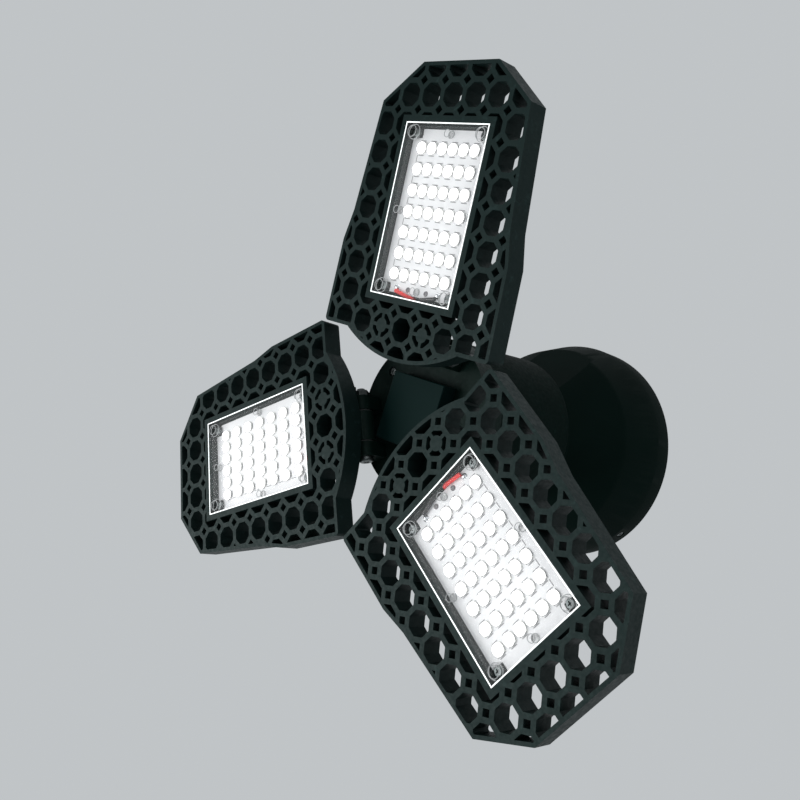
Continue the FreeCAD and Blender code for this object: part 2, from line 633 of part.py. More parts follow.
def make_screw_base():
    """The lamp's own screw shell, glass insulator and centre contact."""
    shell = ribbed_shell("base_sheet", size("thread_radius"), value_of(BASE_START), value_of(SHELL_TOP))
    keep(shell, "base_shell")
    cone = taper("insulator_cone", "Sizes.thread_radius", "Sizes.base_tip_radius", "Sizes.base_cone",
                 at(z=value_of(SHELL_TOP)))
    keep(cone, "base_insulator")
    tip = taper("tip_button", "Sizes.base_tip_radius", "Sizes.base_tip_radius - Sizes.base_tip_height",
                "Sizes.base_tip_height", at(z=value_of(SHELL_TOP) + size("base_cone")))
    keep(tip, "base_contact")


def make_driver_housing():
    """The flared cup that covers the driver, with the collar and spigot of the screw base."""
    base = f"-{HUB_TOP_DROP}"
    spigot = "(Sizes.thread_radius - Sizes.thread_depth - Sizes.shell_wall - Sizes.screw_play)"
    body = turned("housing_turned", [
        ("Sizes.hub_radius - Sizes.housing_wall", base),
        ("Sizes.hub_radius", base),
        (HOUSING_TOP_RADIUS, f"-{HOUSING_DROP}"),
        ("Sizes.collar_radius", f"-{HOUSING_DROP}"),
        ("Sizes.collar_radius", BASE_START),
        (spigot, BASE_START),
        (spigot, f"{BASE_START} + Sizes.spigot_height"),
        ("Sizes.spigot_bore", f"{BASE_START} + Sizes.spigot_height"),
        ("Sizes.spigot_bore", f"-{HOUSING_DROP} - Sizes.housing_wall"),
        (f"{HOUSING_TOP_RADIUS} - Sizes.housing_wall", f"-{HOUSING_DROP} - Sizes.housing_wall"),
    ])
    top = value_of(HOUSING_DROP)
    rim = value_of(HOUSING_TOP_RADIUS)
    rounded_edges(body, "housing_rounding", "Sizes.housing_edge",
                  lambda edge: flat_at(edge, -top) and edge.BoundBox.XMax > rim - 0.01)
    lugs = []
    holes = []
    start = -value_of(HUB_TOP_DROP)
    circle = value_of(HUB_SCREW_CIRCLE)
    for place in round_places(circle, THREE_WAYS, start):
        lugs.append(rod("housing_lug", "Sizes.post_radius", "Sizes.small_screw_length + 2",
                        place.multiply(at(z=size("hub_spigot_height") + size("fit_gap")))))
        holes.append(rod("housing_pilot", PILOT, "Sizes.hub_spigot_height + Sizes.small_screw_length + 1",
                         place))
    # each lug reaches the side wall through a web that clears the hub's spigot ring
    for angle in THREE_WAYS:
        web = doc.addObject("Part::Box", "lug_web")
        bind(web, Length="Sizes.hub_screw_inset - Sizes.housing_wall / 2",
             Width="Sizes.post_radius", Height="Sizes.small_screw_length + 2")
        turn = Rotation(Z_AXIS, angle)
        corner = Vector(circle, -size("post_radius") / 2, 0)
        raised = Vector(0, 0, start + size("hub_spigot_height") + size("fit_gap"))
        web.Placement = Placement(turn.multVec(corner) + raised, turn)
        lugs.append(web)
    keep(cut("housing_drilled", fuse("housing_lugged", [body] + lugs), fuse("housing_holes", holes)),
         "driver_housing")


def wing_place(turn, fold):
    """The frame of one wing: X along its hinge axis, Y outwards, Z up, turned by its fold."""
    about = Placement(Vector(0, 0, 0), Rotation(Z_AXIS, turn))
    hinge = Placement(Vector(0, size("hinge_radius"), -value_of(HINGE_DROP)), Rotation(X_AXIS, fold))
    return about.multiply(hinge)


def along_x(place, start):
    """A placement whose Z runs along the wing's X, from a start on that axis."""
    return place.multiply(Placement(Vector(start, 0, 0), Rotation(Y_AXIS, 90)))


def make_hub():
    """The hub disc with the lugs of the three hinges and the posts of the driver board."""
    face = -value_of(HUB_FACE_DROP)
    solids = [rod("hub_disc", "Sizes.hub_radius", "Sizes.hub_depth", at(z=face))]
    solids.append(rod("hub_ring", "Sizes.hub_radius - Sizes.housing_wall - Sizes.fit_gap",
                      "Sizes.hub_depth + Sizes.hub_spigot_height", at(z=face)))
    dish = rod("hub_dish", "Sizes.hub_radius - Sizes.hub_wall - Sizes.housing_wall + Sizes.fit_gap",
               "Sizes.hub_depth + Sizes.hub_spigot_height", at(z=face + size("hub_floor")))
    shell = cut("hub_hollow", fuse("hub_blank", solids), dish)
    features = [shell]
    for place in round_places(value_of(DRIVER_SCREW_CIRCLE), THREE_BETWEEN, face):
        features.append(rod("driver_post", "Sizes.post_radius", f"{HUB_FACE_DROP} - {DRIVER_DROP}", place))
    for place in round_places(value_of(HUB_SCREW_CIRCLE), THREE_WAYS, face):
        features.append(rod("housing_post", "Sizes.post_radius",
                            "Sizes.hub_depth + Sizes.hub_spigot_height", place))
    boss_width = "Sizes.cap_width - 2 * Sizes.cap_wall - 2 * Sizes.fit_gap"
    features.append(box("cap_boss", boss_width, boss_width, "Sizes.cap_boss_height",
                        at(z=face - size("cap_boss_height"))))
    bores = [rod("hub_wire_bore", "Sizes.hub_wire_hole", "Sizes.hub_depth + Sizes.cap_boss_height",
                 at(z=face - size("cap_boss_height") - 1))]
    for _, turn, _ in WINGS:
        place = wing_place(turn, 0)
        for side in (-1, 1):
            start = value_of(LUG_START) if side > 0 else -value_of(LUG_START) - size("lug_width")
            features.append(rod("lug_eye", "Sizes.knuckle_radius", "Sizes.lug_width", along_x(place, start)))
            middle = place.multiply(at(start + size("lug_width") / 2))
            features.append(box("lug_neck", "Sizes.lug_width", "2 * Sizes.knuckle_radius",
                                "Sizes.hinge_below_hub + Sizes.hub_floor / 2", middle))
        reach = value_of(LUG_START) + size("lug_width")
        bores.append(rod("bolt_bore", "Sizes.bolt_radius + Sizes.bolt_play",
                         f"2 * ({LUG_START} + Sizes.lug_width) + 2", along_x(place, -reach - 1)))
    for place in round_places(value_of(DRIVER_SCREW_CIRCLE), THREE_BETWEEN, -value_of(DRIVER_DROP)):
        start = place.multiply(at(z=1 - size("small_screw_length")))
        bores.append(rod("driver_pilot", PILOT, "Sizes.small_screw_length", start))
    for place in round_places(value_of(HUB_SCREW_CIRCLE), THREE_WAYS, face):
        bores.append(rod("housing_screw_hole", PILOT, "Sizes.hub_depth + Sizes.hub_spigot_height + 2",
                         place.multiply(at(z=-1))))
        bores.append(rod("housing_screw_seat", HEAD_ROOM, f"{HEAD_SEAT} + 1", place.multiply(at(z=-1))))
    keep(cut("hub_drilled", fuse("hub_cast", features), fuse("hub_bores", bores)), "hub_body")
    screws = []
    for place in round_places(value_of(HUB_SCREW_CIRCLE), THREE_WAYS, face + value_of(HEAD_SEAT)):
        screws.append(pan_screw("housing_screw", "Sizes.small_screw_radius", HOUSING_SCREW,
                                "Sizes.small_head_radius", "Sizes.small_head_height", place))
    keep(group("housing_screw_set", screws), "housing_screws")


def make_hub_cap():
    """The square cap that covers the wiring below the hub."""
    half = "Sizes.cap_width / 2"
    body = padded_plate("cap_moulded", [
        (f"-{half}", f"-{half}"),
        (half, f"-{half}"),
        (half, half),
        (f"-{half}", half),
    ], "Sizes.cap_depth")
    inner = "(Sizes.cap_width / 2 - Sizes.cap_wall)"
    sketch = closed_sketch(body, "cap_room_outline", "XY_Plane", [
        (f"-{inner}", f"-{inner}"),
        (inner, f"-{inner}"),
        (inner, inner),
        (f"-{inner}", inner),
    ])
    sketch.setExpression("AttachmentOffset.Base.z", "Sizes.cap_depth")
    room = body.newObject("PartDesign::Pocket", "cap_room")
    room.Profile = sketch
    bind(room, Length="Sizes.cap_depth - Sizes.cap_wall")
    doc.recompute()
    width = size("cap_width")
    if body.Shape.Volume > 0.9 * width * width * size("cap_depth"):
        raise ValueError("the cap's room isn't cut")
    keep(body, "hub_cap", at(z=-value_of(HUB_FACE_DROP) - size("cap_depth")))


def make_driver():
    """The driver board with its screws, transformer, capacitors and small parts."""
    low = -value_of(DRIVER_DROP)
    circle = value_of(DRIVER_SCREW_CIRCLE)
    board = rod("driver_disc", DRIVER_RADIUS, "Sizes.driver_depth", at(z=low))
    holes = []
    for place in round_places(circle, THREE_BETWEEN, low - 1):
        holes.append(rod("driver_hole", PILOT, "Sizes.driver_depth + 2", place))
    keep(cut("driver_drilled", board, fuse("driver_holes", holes)), "driver_board")
    top = low + size("driver_depth")
    flip = Rotation(X_AXIS, 180)
    screws = []
    for place in round_places(circle, THREE_BETWEEN, top):
        screws.append(pan_screw("driver_screw", "Sizes.small_screw_radius", "Sizes.small_screw_length - 1",
                                "Sizes.small_head_radius", "Sizes.small_head_height",
                                Placement(place.Base, flip)))
    keep(group("driver_screw_set", screws), "driver_screws")
    core = box("coil_core", "Sizes.core_width", "Sizes.core_length", "Sizes.core_height", at(z=top))
    winding = box("coil_winding", "Sizes.winding_width", "Sizes.winding_length", "Sizes.winding_height",
                  at(z=top))
    keep(fuse("coil_joined", [core, winding]), "transformer")
    cans = []
    for spot in round_places(value_of(CAN_OFFSET), CAN_ANGLES, top):
        cans.append(rod("can", "Sizes.can_radius", "Sizes.can_height", spot))
    keep(group("can_set", cans), "capacitors")
    chips = []
    for angle in CHIP_ANGLES:
        radial = round_places(value_of(CHIP_OFFSET), (angle,), top)[0]
        place = Placement(radial.Base, Rotation(Z_AXIS, angle))
        chips.append(box("board_chip", "Sizes.chip_width", "Sizes.chip_length", "Sizes.chip_height", place))
    keep(group("chip_set", chips), "board_chips")


# ---------------------------------------------------------------------------
# Wings: every piece is drawn in the wing's own frame and then put in its place
# ---------------------------------------------------------------------------


def front_level(depth=0.0):
    """Height, in the wing's frame, of a level that lies a depth behind the front face."""
    return -value_of(WING_DROP) + depth


def frame_outline():
    """The closed outline of a wing's lattice frame on its front face."""
    middle = size("wing_reach")
    level = front_level()
    right = [
        (size("bow_width") / 2, -size("root_back")),
        (value_of(ROOT_WIDTH) / 2, -size("root_back")),
        (size("step_width") / 2, -size("step_back")),
        (size("waist_width") / 2, -size("waist_back")),
        (size("chamfer_width") / 2, size("chamfer_reach")),
        (size("tip_width") / 2, size("tip_reach")),
    ]
    left = [(-across, along) for across, along in reversed(right)]
    points = [Vector(across, middle + along, level) for across, along in right + left]
    edges = [Part.LineSegment(points[index], points[index + 1]).toShape() for index in range(len(points) - 1)]
    bottom = Vector(0, middle - size("root_back") - size("bow_height"), level)
    edges.append(Part.Arc(points[-1], bottom, points[0]).toShape())
    return Part.Wire(edges)


def lattice_cells(level, depth):
    """Prisms of the eight-sided and the square holes over the whole wing."""
    across = size("cell_pitch_across")
    along = size("cell_pitch_along")
    half_across = (across - size("cell_rib")) / 2
    half_along = (along - size("cell_rib")) / 2
    side = half_across * (math.sqrt(2) - 1)
    half_square = size("cell_square") / math.sqrt(2)
    eight = [(half_across, side), (side, half_along), (-side, half_along), (-half_across, side),
             (-half_across, -side), (-side, -half_along), (side, -half_along), (half_across, -side)]
    four = [(half_square, 0), (0, half_square), (-half_square, 0), (0, -half_square)]
    columns = int(value_of(ROOT_WIDTH) / 2 / across) + 1
    rows = int(size("tip_reach") / along) + 1
    prisms = []
    for column in range(-columns, columns + 1):
        for row in range(-rows, rows + 1):
            for shape, shift in ((eight, 0.0), (four, 0.5)):
                x = (column + shift) * across
                y = size("wing_reach") - size("cell_shift") + (row + shift) * along
                corners = [Vector(x + dx, y + dy, level) for dx, dy in shape]
                face = Part.Face(Part.makePolygon(corners + corners[:1]))
                prisms.append(face.extrude(Vector(0, 0, depth)))
    return prisms


def centred_block(width, length, depth, level):
    """A block over the middle of the window."""
    corner = Vector(-width / 2, size("wing_reach") - length / 2, level)
    return Part.makeBox(width, length, depth, corner)


BOSS_ROW = 4  # lattice rows from the window's middle to the two bosses


def boss_spots():
    """Where the two bracket screws stand, in the wing's frame: on whole lattice cells."""
    across = size("cell_pitch_across")
    along = size("wing_reach") - size("cell_shift") - BOSS_ROW * size("cell_pitch_along")
    return [(-across, along), (across, along)]


def pillar_spots():
    """Where the four cover screws stand, in the wing's frame."""
    across = size("window_width") / 2 - size("cover_gap") - size("pillar_inset_across")
    along = size("window_length") / 2 - size("cover_gap") - size("pillar_inset_along")
    return [(sx * across, size("wing_reach") + sy * along) for sx in (-1, 1) for sy in (-1, 1)]


def lead_spots():
    """Where the two leads pass through the wing's floor."""
    along = size("wing_reach") - value_of(LEAD_HOLE_BACK)
    return [(-size("lead_hole_offset"), along), (size("lead_hole_offset"), along)]


def frame_shape():
    """The cast frame: lattice, rim, window well with a blind lattice behind it, and screw bosses."""
    depth = size("frame_depth")
    up = Vector(0, 0, depth)
    level = front_level()
    slab = Part.Face(frame_outline()).extrude(up)
    corner = value_of(ROOT_WIDTH) / 2
    round_edges = [edge for edge in slab.Edges
                   if edge.BoundBox.ZLength > depth - 0.01 and edge.BoundBox.XLength < 0.01
                   and abs(abs(edge.BoundBox.XMin) - corner) < 0.01]
    slab = slab.makeFillet(size("root_corner"), round_edges)
    front = [face for face in slab.Faces if abs(face.BoundBox.ZMax - level) < 0.01][0]
    inside = front.makeOffset2D(-size("rim_wall"), join=2)
    inner = Part.Face(inside.OuterWire if hasattr(inside, "OuterWire") else inside).extrude(up)
    rim = slab.cut(inner)
    lattice = slab.cut(lattice_cells(level - 1, depth + 2))
    wall = 2 * size("window_wall")
    block = centred_block(size("window_width") + wall, size("window_length") + wall, depth, level)
    back = level + depth
    blind = lattice_cells(back - size("blind_depth"), size("blind_depth") + 1)
    block = block.cut([cell for cell in blind if cell.BoundBox.XMin > -size("window_width") / 2
                       and cell.BoundBox.XMax < size("window_width") / 2
                       and cell.BoundBox.YMin > size("wing_reach") - size("window_length") / 2
                       and cell.BoundBox.YMax < size("wing_reach") + size("window_length") / 2])
    well = centred_block(size("window_width"), size("window_length"), size("well_depth") + 1, level - 1)
    solids = [rim, lattice]
    for x, y in boss_spots():
        pitch_across = size("cell_pitch_across")
        pitch_along = size("cell_pitch_along")
        rib = size("boss_rib")
        rib_across = Vector(x - pitch_across / 2, y - rib / 2, level)
        rib_along = Vector(x - rib / 2, y - pitch_along / 2, level)
        solids.append(Part.makeCylinder(size("boss_radius"), depth, Vector(x, y, level)))
        solids.append(Part.makeBox(pitch_across, rib, depth, rib_across))
        solids.append(Part.makeBox(rib, pitch_along, depth, rib_along))
    solid = rim.fuse(solids[1:]).cut(centred_block(size("window_width") + wall, size("window_length") + wall,
                                                   depth + 2, level - 1))
    solid = solid.fuse(block.cut(well)).removeSplitter()
    holes = []
    pilot = value_of(PILOT)
    floor = level + size("well_depth")
    for x, y in pillar_spots():
        holes.append(Part.makeCylinder(pilot, depth - size("well_depth") + 1, Vector(x, y, floor - 1)))
    for x, y in lead_spots():
        holes.append(Part.makeCylinder(size("lead_hole_radius"), depth, Vector(x, y, level + 1)))
    bracket_pilot = size("bracket_screw_radius") + size("screw_play")
    deep = size("bracket_screw_length") - size("bracket_depth") + 1
    for x, y in boss_spots():
        holes.append(Part.makeCylinder(bracket_pilot, deep + 1, Vector(x, y, back - deep)))
    return solid.cut(holes)


def board_features(name):
    """The aluminium board with its cut corners, as a padded body."""
    half_width = f"{BOARD_WIDTH} / 2"
    half_length = f"{BOARD_LENGTH} / 2"
    in_width = f"({BOARD_WIDTH} / 2 - Sizes.notch_width)"
    in_length = f"({BOARD_LENGTH} / 2 - Sizes.notch_length)"
    corners = []
    quarter = [(half_width, in_length), (in_width, in_length), (in_width, half_length)]
    corners += [(across, f"-{along}") for across, along in reversed(quarter)]
    corners += quarter
    corners += [(f"-{across}", along) for across, along in reversed(quarter)]
    corners += [(f"-{across}", f"-{along}") for across, along in quarter]
    return padded_plate(name, corners, "Sizes.board_depth")


def emitter_shape():
    """All emitters of one board, each a square package with a lens dome below it."""
    base = front_level(size("well_depth") - size("board_depth"))
    radius = size("dome_radius")
    height = size("dome_height")
    ball = (radius ** 2 + height ** 2) / (2 * height)
    start = math.degrees(math.asin((ball - height) / ball))
    width = size("led_width")
    depth = size("led_depth")
    package = Part.makeBox(width, width, depth, Vector(-width / 2, -width / 2, -depth))
    centre = Vector(0, 0, ball - height - depth)
    dome = Part.makeSphere(ball, centre, DOWN, start, 90, 360)
    emitter = package.fuse(dome)
    emitters = []
    columns = int(size("led_columns"))
    rows = int(size("led_rows"))
    pitch_across = value_of(LED_PITCH_ACROSS)
    pitch_along = value_of(LED_PITCH_ALONG)
    for column in range(columns):
        for row in range(rows):
            x = (column - (columns - 1) / 2) * pitch_across
            y = size("wing_reach") + (row - (rows - 1) / 2) * pitch_along
            copy = emitter.copy()
            copy.translate(Vector(x, y, base))
            emitters.append(copy)
    return Part.makeCompound(emitters)


def cover_feature(name):
    """The clear cover: face, side walls, four screw pillars and four studs that hold the board down."""
    level = front_level()
    height = "Sizes.well_depth"
    centre = at(0, size("wing_reach"), level)
    outside = box(name + "_outside", COVER_WIDTH, COVER_LENGTH, height, centre)
    room = box(name + "_room", f"{COVER_WIDTH} - 2 * Sizes.cover_wall",
               f"{COVER_LENGTH} - 2 * Sizes.cover_wall", height, centre.multiply(at(z=size("cover_face"))))
    features = [cut(name + "_tray", outside, room)]
    wells = []
    for x, y in pillar_spots():
        features.append(rod(name + "_pillar", "Sizes.pillar_radius", height, at(x, y, level)))
        wells.append(rod(name + "_well", "Sizes.small_head_radius + Sizes.cover_gap",
                         "Sizes.well_depth - Sizes.pillar_foot + 1", at(x, y, level - 1)))
        wells.append(rod(name + "_hole", PILOT, "Sizes.well_depth + 2", at(x, y, level - 1)))
    reach = "Sizes.well_depth - Sizes.board_depth"
    middle = size("wing_reach")
    seat = at(0, middle, level + value_of(reach))
    room = "Sizes.board_depth + 1"
    room_width = f"({BOARD_WIDTH} + 2 * Sizes.cover_gap)"
    room_length = f"({BOARD_LENGTH} + 2 * Sizes.cover_gap)"
    wells.append(box(name + "_board_room_across", room_width, f"{room_length} - 2 * Sizes.notch_length",
                     room, seat))
    wells.append(box(name + "_board_room_along", f"{room_width} - 2 * Sizes.notch_width", room_length,
                     room, seat))
    lead_room = "2 * (Sizes.lead_radius + Sizes.lead_play)"
    gate_level = level + value_of(reach) - value_of(lead_room)
    wells.append(box(name + "_lead_gate", f"2 * (Sizes.lead_hole_offset + Sizes.lead_tail) + {lead_room}",
                     "2 * Sizes.cover_wall + 2 * Sizes.cover_gap", f"{room} + {lead_room}",
                     at(0, middle - size("window_length") / 2, gate_level)))
    beside = value_of(BOARD_WIDTH) / 2 - size("stud_inset_across")
    beyond = value_of(BOARD_LENGTH) / 2 - size("stud_inset_along")
    for x, y in ((-beside, 0), (beside, 0), (0, -beyond), (0, beyond)):
        features.append(rod(name + "_stud", "Sizes.stud_radius", reach, at(x, middle + y, level)))
    return cut(name, fuse(name + "_joined", features), fuse(name + "_wells", wells))


def lead_shape():
    """Two leads that come up through the wing's floor and slant over the board's end, one to each side."""
    radius = size("lead_radius")
    bend = size("lead_bend")
    run_level = front_level(size("well_depth") - size("board_depth") - size("lead_play") - radius)
    slant = math.atan2(size("lead_slant"), size("lead_tail"))
    length = math.hypot(size("lead_slant"), size("lead_tail"))
    leads = []
    for x, y in lead_spots():
        side = 1 if x > 0 else -1
        along = Vector(side * math.cos(slant), math.sin(slant), 0)
        hole = Vector(x, y, run_level)
        start = Vector(x, y, front_level(size("frame_depth")))
        rise = hole + Vector(0, 0, bend)
        short = bend * (1 - math.sin(math.pi / 4))
        middle = hole + along * short + Vector(0, 0, short)
        level_off = hole + along * bend
        end = hole + along * length
        upright = Part.LineSegment(start, rise).toShape()
        elbow = Part.Arc(rise, middle, level_off).toShape()
        run = Part.LineSegment(level_off, end).toShape()
        path = Part.Wire([upright, elbow, run])
        section = Part.Wire(Part.makeCircle(radius, start, DOWN))
        leads.append(path.makePipeShell([section], True, True))
    return Part.makeCompound(leads)


def bracket_feature(name):
    """The bracket plate behind a wing, with the hinge knuckle standing on it."""
    back = front_level(size("frame_depth"))
    middle = (value_of(BRACKET_OUTER) - size("bracket_inner")) / 2
    plate = box(name + "_plate", BRACKET_WIDTH, f"Sizes.bracket_inner + {BRACKET_OUTER}",
                "Sizes.bracket_depth", at(0, middle, back))
    knuckle = rod(name + "_knuckle", "Sizes.knuckle_radius", "Sizes.knuckle_width",
                  along_x(at(), -size("knuckle_width") / 2))
    web = box(name + "_web", "Sizes.knuckle_width", "2 * Sizes.bracket_inner",
              f"{WING_DROP} - Sizes.frame_depth", at(0, 0, back))
    holes = [rod(name + "_bore", "Sizes.bolt_radius + Sizes.bolt_play", "Sizes.knuckle_width + 2",
                 along_x(at(), -size("knuckle_width") / 2 - 1))]
    top = back + size("bracket_depth")
    sink = size("bracket_head_radius") - size("bracket_screw_radius")
    for x, y in boss_spots():
        holes.append(rod(name + "_hole", "Sizes.bracket_screw_radius + Sizes.screw_play",
                         "Sizes.bracket_depth + 2", at(x, y, back - 1)))
        holes.append(taper(name + "_sink", "Sizes.bracket_screw_radius + Sizes.screw_play",
                           "Sizes.bracket_head_radius + Sizes.screw_play",
                           "Sizes.bracket_head_radius - Sizes.bracket_screw_radius", at(x, y, top - sink)))
    for x, y in lead_spots():
        holes.append(rod(name + "_lead_hole", "Sizes.lead_hole_radius", "Sizes.bracket_depth / 2",
                         at(x, y, back - 0.01)))
    return cut(name, fuse(name + "_joined", [plate, knuckle, web]), fuse(name + "_holes", holes))


def bracket_screws_feature(name):
    """Two countersunk screws from the bracket into the frame's bosses."""
    top = front_level(size("frame_depth")) + size("bracket_depth")
    sink = "(Sizes.bracket_head_radius - Sizes.bracket_screw_radius)"
    screws = []
    for x, y in boss_spots():
        shank = rod(name + "_shank", "Sizes.bracket_screw_radius", f"Sizes.bracket_screw_length - {sink}",
                    at(x, y, top - size("bracket_screw_length")))
        head = taper(name + "_head", "Sizes.bracket_screw_radius", "Sizes.bracket_head_radius", sink,
                     at(x, y, top - value_of(sink)))
        screws.append(fuse(name + "_screw", [shank, head]))
    return group(name, screws)


def hinge_features(name):
    """The hinge bolt, its nut and the two friction washers, in the wing's frame."""
    reach = value_of(LUG_START) + size("lug_width")
    shank = rod(name + "_shank", "Sizes.bolt_radius",
                f"2 * ({LUG_START} + Sizes.lug_width) + Sizes.nut_height + Sizes.bolt_tail",
                along_x(at(), -reach - size("nut_height") - size("bolt_tail")))
    head = rod(name + "_head", "Sizes.bolt_head_radius", "Sizes.bolt_head_height", along_x(at(), reach))
    bolt = fuse(name + "_bolt", [shank, head])
    hexagon = doc.addObject("Part::Prism", name + "_hexagon")
    hexagon.Polygon = 6
    bind(hexagon, Circumradius="Sizes.nut_flats / sqrt(3)", Height="Sizes.nut_height")
    hexagon.Placement = along_x(at(), -reach - size("nut_height"))
    bore = rod(name + "_nut_bore", "Sizes.bolt_radius + Sizes.screw_play", "Sizes.nut_height + 2",
               along_x(at(), -reach - size("nut_height") - 1))
    nut = cut(name + "_nut", hexagon, bore)
    washers = []
    for side in (-1, 1):
        start = size("knuckle_width") / 2 + size("side_gap")
        low = start if side > 0 else -start - size("washer_depth")
        disc = rod(name + "_disc", "Sizes.washer_radius", "Sizes.washer_depth", along_x(at(), low))
        hole = rod(name + "_eye", "Sizes.bolt_radius + Sizes.screw_play", "Sizes.washer_depth + 2",
                   along_x(at(), low - 1))
        washers.append(cut(name + "_ring", disc, hole))
    return bolt, nut, group(name + "_washers", washers)


def cover_screws_feature(name):
    """Four pan head screws in the cover's pillars."""
    level = front_level(size("well_depth") - size("pillar_foot"))
    screws = []
    for x, y in pillar_spots():
        screws.append(pan_screw(name + "_screw", "Sizes.small_screw_radius", "Sizes.cover_screw_length",
                                "Sizes.small_head_radius", "Sizes.small_head_height", at(x, y, level)))
    return group(name, screws)


def make_wings():
    shared_frame = frame_shape()
    shared_emitters = emitter_shape()
    shared_leads = lead_shape()
    board_level = front_level(size("well_depth") - size("board_depth"))
    for name, turn, fold in WINGS:
        place = wing_place(turn, fold)
        keep(solid_feature(f"cast_{name}", shared_frame), f"wing_frame_{name}", place)
        keep(board_features(f"sheet_{name}"), f"led_board_{name}",
             place.multiply(at(0, size("wing_reach"), board_level)))
        keep(solid_feature(f"emitters_{name}", shared_emitters), f"leds_{name}", place)
        keep(cover_feature(f"clear_{name}"), f"lens_cover_{name}", place)
        keep(cover_screws_feature(f"cover_set_{name}"), f"cover_screws_{name}", place)
        keep(solid_feature(f"leads_{name}", shared_leads), f"board_leads_{name}", place)
        keep(bracket_feature(f"hinge_plate_{name}"), f"hinge_bracket_{name}", place)
        keep(bracket_screws_feature(f"plate_set_{name}"), f"bracket_screws_{name}", place)
        bolt, nut, washers = hinge_features(f"hinge_{name}")
        straight = wing_place(turn, 0)
        keep(bolt, f"hinge_bolt_{name}", straight)
        keep(nut, f"hinge_nut_{name}", straight)
        keep(washers, f"friction_washers_{name}", straight)


def check_and_write():
    """Stop if anything failed, then write each sub-part to its own file."""
    doc.recompute()
    for feature in doc.Objects:
        if "Invalid" in feature.State or "Error" in feature.State:
            raise ValueError(f"{feature.Name} failed: {feature.State}")
    os.makedirs("parts", exist_ok=True)
    for feature in SUB_PARTS:
        shape = feature.Shape
        if shape.isNull() or not shape.isValid() or not shape.Solids:
            raise ValueError(f"{feature.Label} has no valid solid")
    for feature in SUB_PARTS:
        feature.Shape.exportStep(f"parts/{feature.Label}.step")


make_canopy()
make_back_plate()
make_socket()
make_screw_base()
make_driver_housing()
make_hub()
make_hub_cap()
make_driver()
make_wings()
check_and_write()
print(f"{len(SUB_PARTS)} sub-parts written")
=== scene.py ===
"""Finishes the ceiling light: three hinged lattice wings on a round hub under a bell-shaped fitting.

Everything is in metres in the fitting's own frame: the origin is the centre of its ceiling face
and +Z points up into the ceiling. Sizes below are in millimetres and are scaled by MM.
"""

import math

import bmesh
import bpy
from mathutils import Matrix, Vector


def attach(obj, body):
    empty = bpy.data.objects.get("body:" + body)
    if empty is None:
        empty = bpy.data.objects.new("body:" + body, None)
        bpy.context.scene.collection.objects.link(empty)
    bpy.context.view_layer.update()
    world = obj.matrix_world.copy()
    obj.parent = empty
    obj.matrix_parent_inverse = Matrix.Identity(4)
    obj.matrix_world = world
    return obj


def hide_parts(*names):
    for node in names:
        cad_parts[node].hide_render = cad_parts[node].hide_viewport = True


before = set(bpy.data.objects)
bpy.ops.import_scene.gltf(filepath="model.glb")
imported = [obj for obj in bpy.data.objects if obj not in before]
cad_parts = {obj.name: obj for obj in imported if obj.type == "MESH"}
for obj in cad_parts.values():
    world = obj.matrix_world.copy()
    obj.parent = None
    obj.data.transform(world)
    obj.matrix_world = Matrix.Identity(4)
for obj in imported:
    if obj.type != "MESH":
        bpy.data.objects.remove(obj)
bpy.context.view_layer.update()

MM = 0.001

# wings: turn about the lamp's axis and fold at rest, in degrees
WINGS = {"front": (180.0, -6.0), "right": (-60.0, 1.3), "left": (60.0, 0.0)}
HINGE_RADIUS = 29.0
HINGE_DROP = 138.65

# a wing's own frame has its origin in the middle of the hinge, Y outwards and Z up
WINDOW_MIDDLE = 59.1
FRONT_LEVEL = -19.0
BACK_LEVEL = -9.1
CELL_ROUND = 0.95

# light board behind the window
WELL_DEPTH = 6.0
BOARD_DEPTH = 1.5
BOARD_LEVEL = FRONT_LEVEL + WELL_DEPTH - BOARD_DEPTH
PACKAGE_DEPTH = 0.5
EMITTER_COLUMNS = 6
EMITTER_ROWS = 7
EMITTER_PITCH = (6.4, 9.4)
MARK_WIDTH = 0.32
MARK_HEIGHT = 0.06
DASH_LENGTH = 3.3
DASH_OFFSET = 3.2
STROKE_OFFSET = 18.3

# clear cover: the strip along its edge, which carries a painted glow
COVER_SIZE = (49.7, 77.2)
EDGE_STRIP = 0.5
EDGE_RISE = 0.2
EDGE_ROUND = 0.12

# clear cover: radii and levels of the rims of its studs, screw pillars and posts
STUD_RADIUS = 1.65
PILLAR_RADIUS = 2.5
POST_RADIUS = 3.3
RIM_TUBE = 0.17
COVER_BACK = -17.35
STUD_END = -14.75
PILLAR_MOUTH = -18.95

# screws, bolts and nuts: a head is (radius, height), a shank is (radius, length)
SMALL_HEAD = (2.2, 1.6)
SUNK_HEAD = (2.8, 1.35)
BOLT_HEAD = (3.7, 2.2)
THREAD_STEP = 0.5
NUT_FLATS = 7.0
NUT_HEIGHT = 3.2
NUT_BORE = 2.05
COVER_SCREWS = [(sx * 20.45, sy * 34.6) for sx in (-1, 1) for sy in (-1, 1)]
BRACKET_SCREWS = [(-13.0, 7.1), (13.0, 7.1)]
BRACKET_SEAT = BACK_LEVEL + 3.0
BOLT_REACH = 14.9
HOUSING_SCREW_RADIUS = 30.0
HOUSING_SCREW_ANGLES = (90, 210, 330)
HOUSING_SCREW_LEVEL = -128.2
SIDE_SCREW_RADIUS = 56.3
SIDE_SCREW_ANGLES = (35, 215)
SIDE_SCREW_LEVEL = -6.2

# clear studs, solder joints and rivets, measured from the middle of the window
STUDS = [(-21.4, 0.0), (21.4, 0.0), (0.0, -34.5), (0.0, 34.5)]
LEAD_JOINTS = [(12.9, -34.0), (-12.9, -34.0)]
BOARD_RIVETS = [(5.7, -34.3), (-5.7, -34.3)]

# shading: corners sharper than this stay crisp, in degrees; the bell's flats meet at less
SHARP = 35.0
SHARP_BELL = 14.0

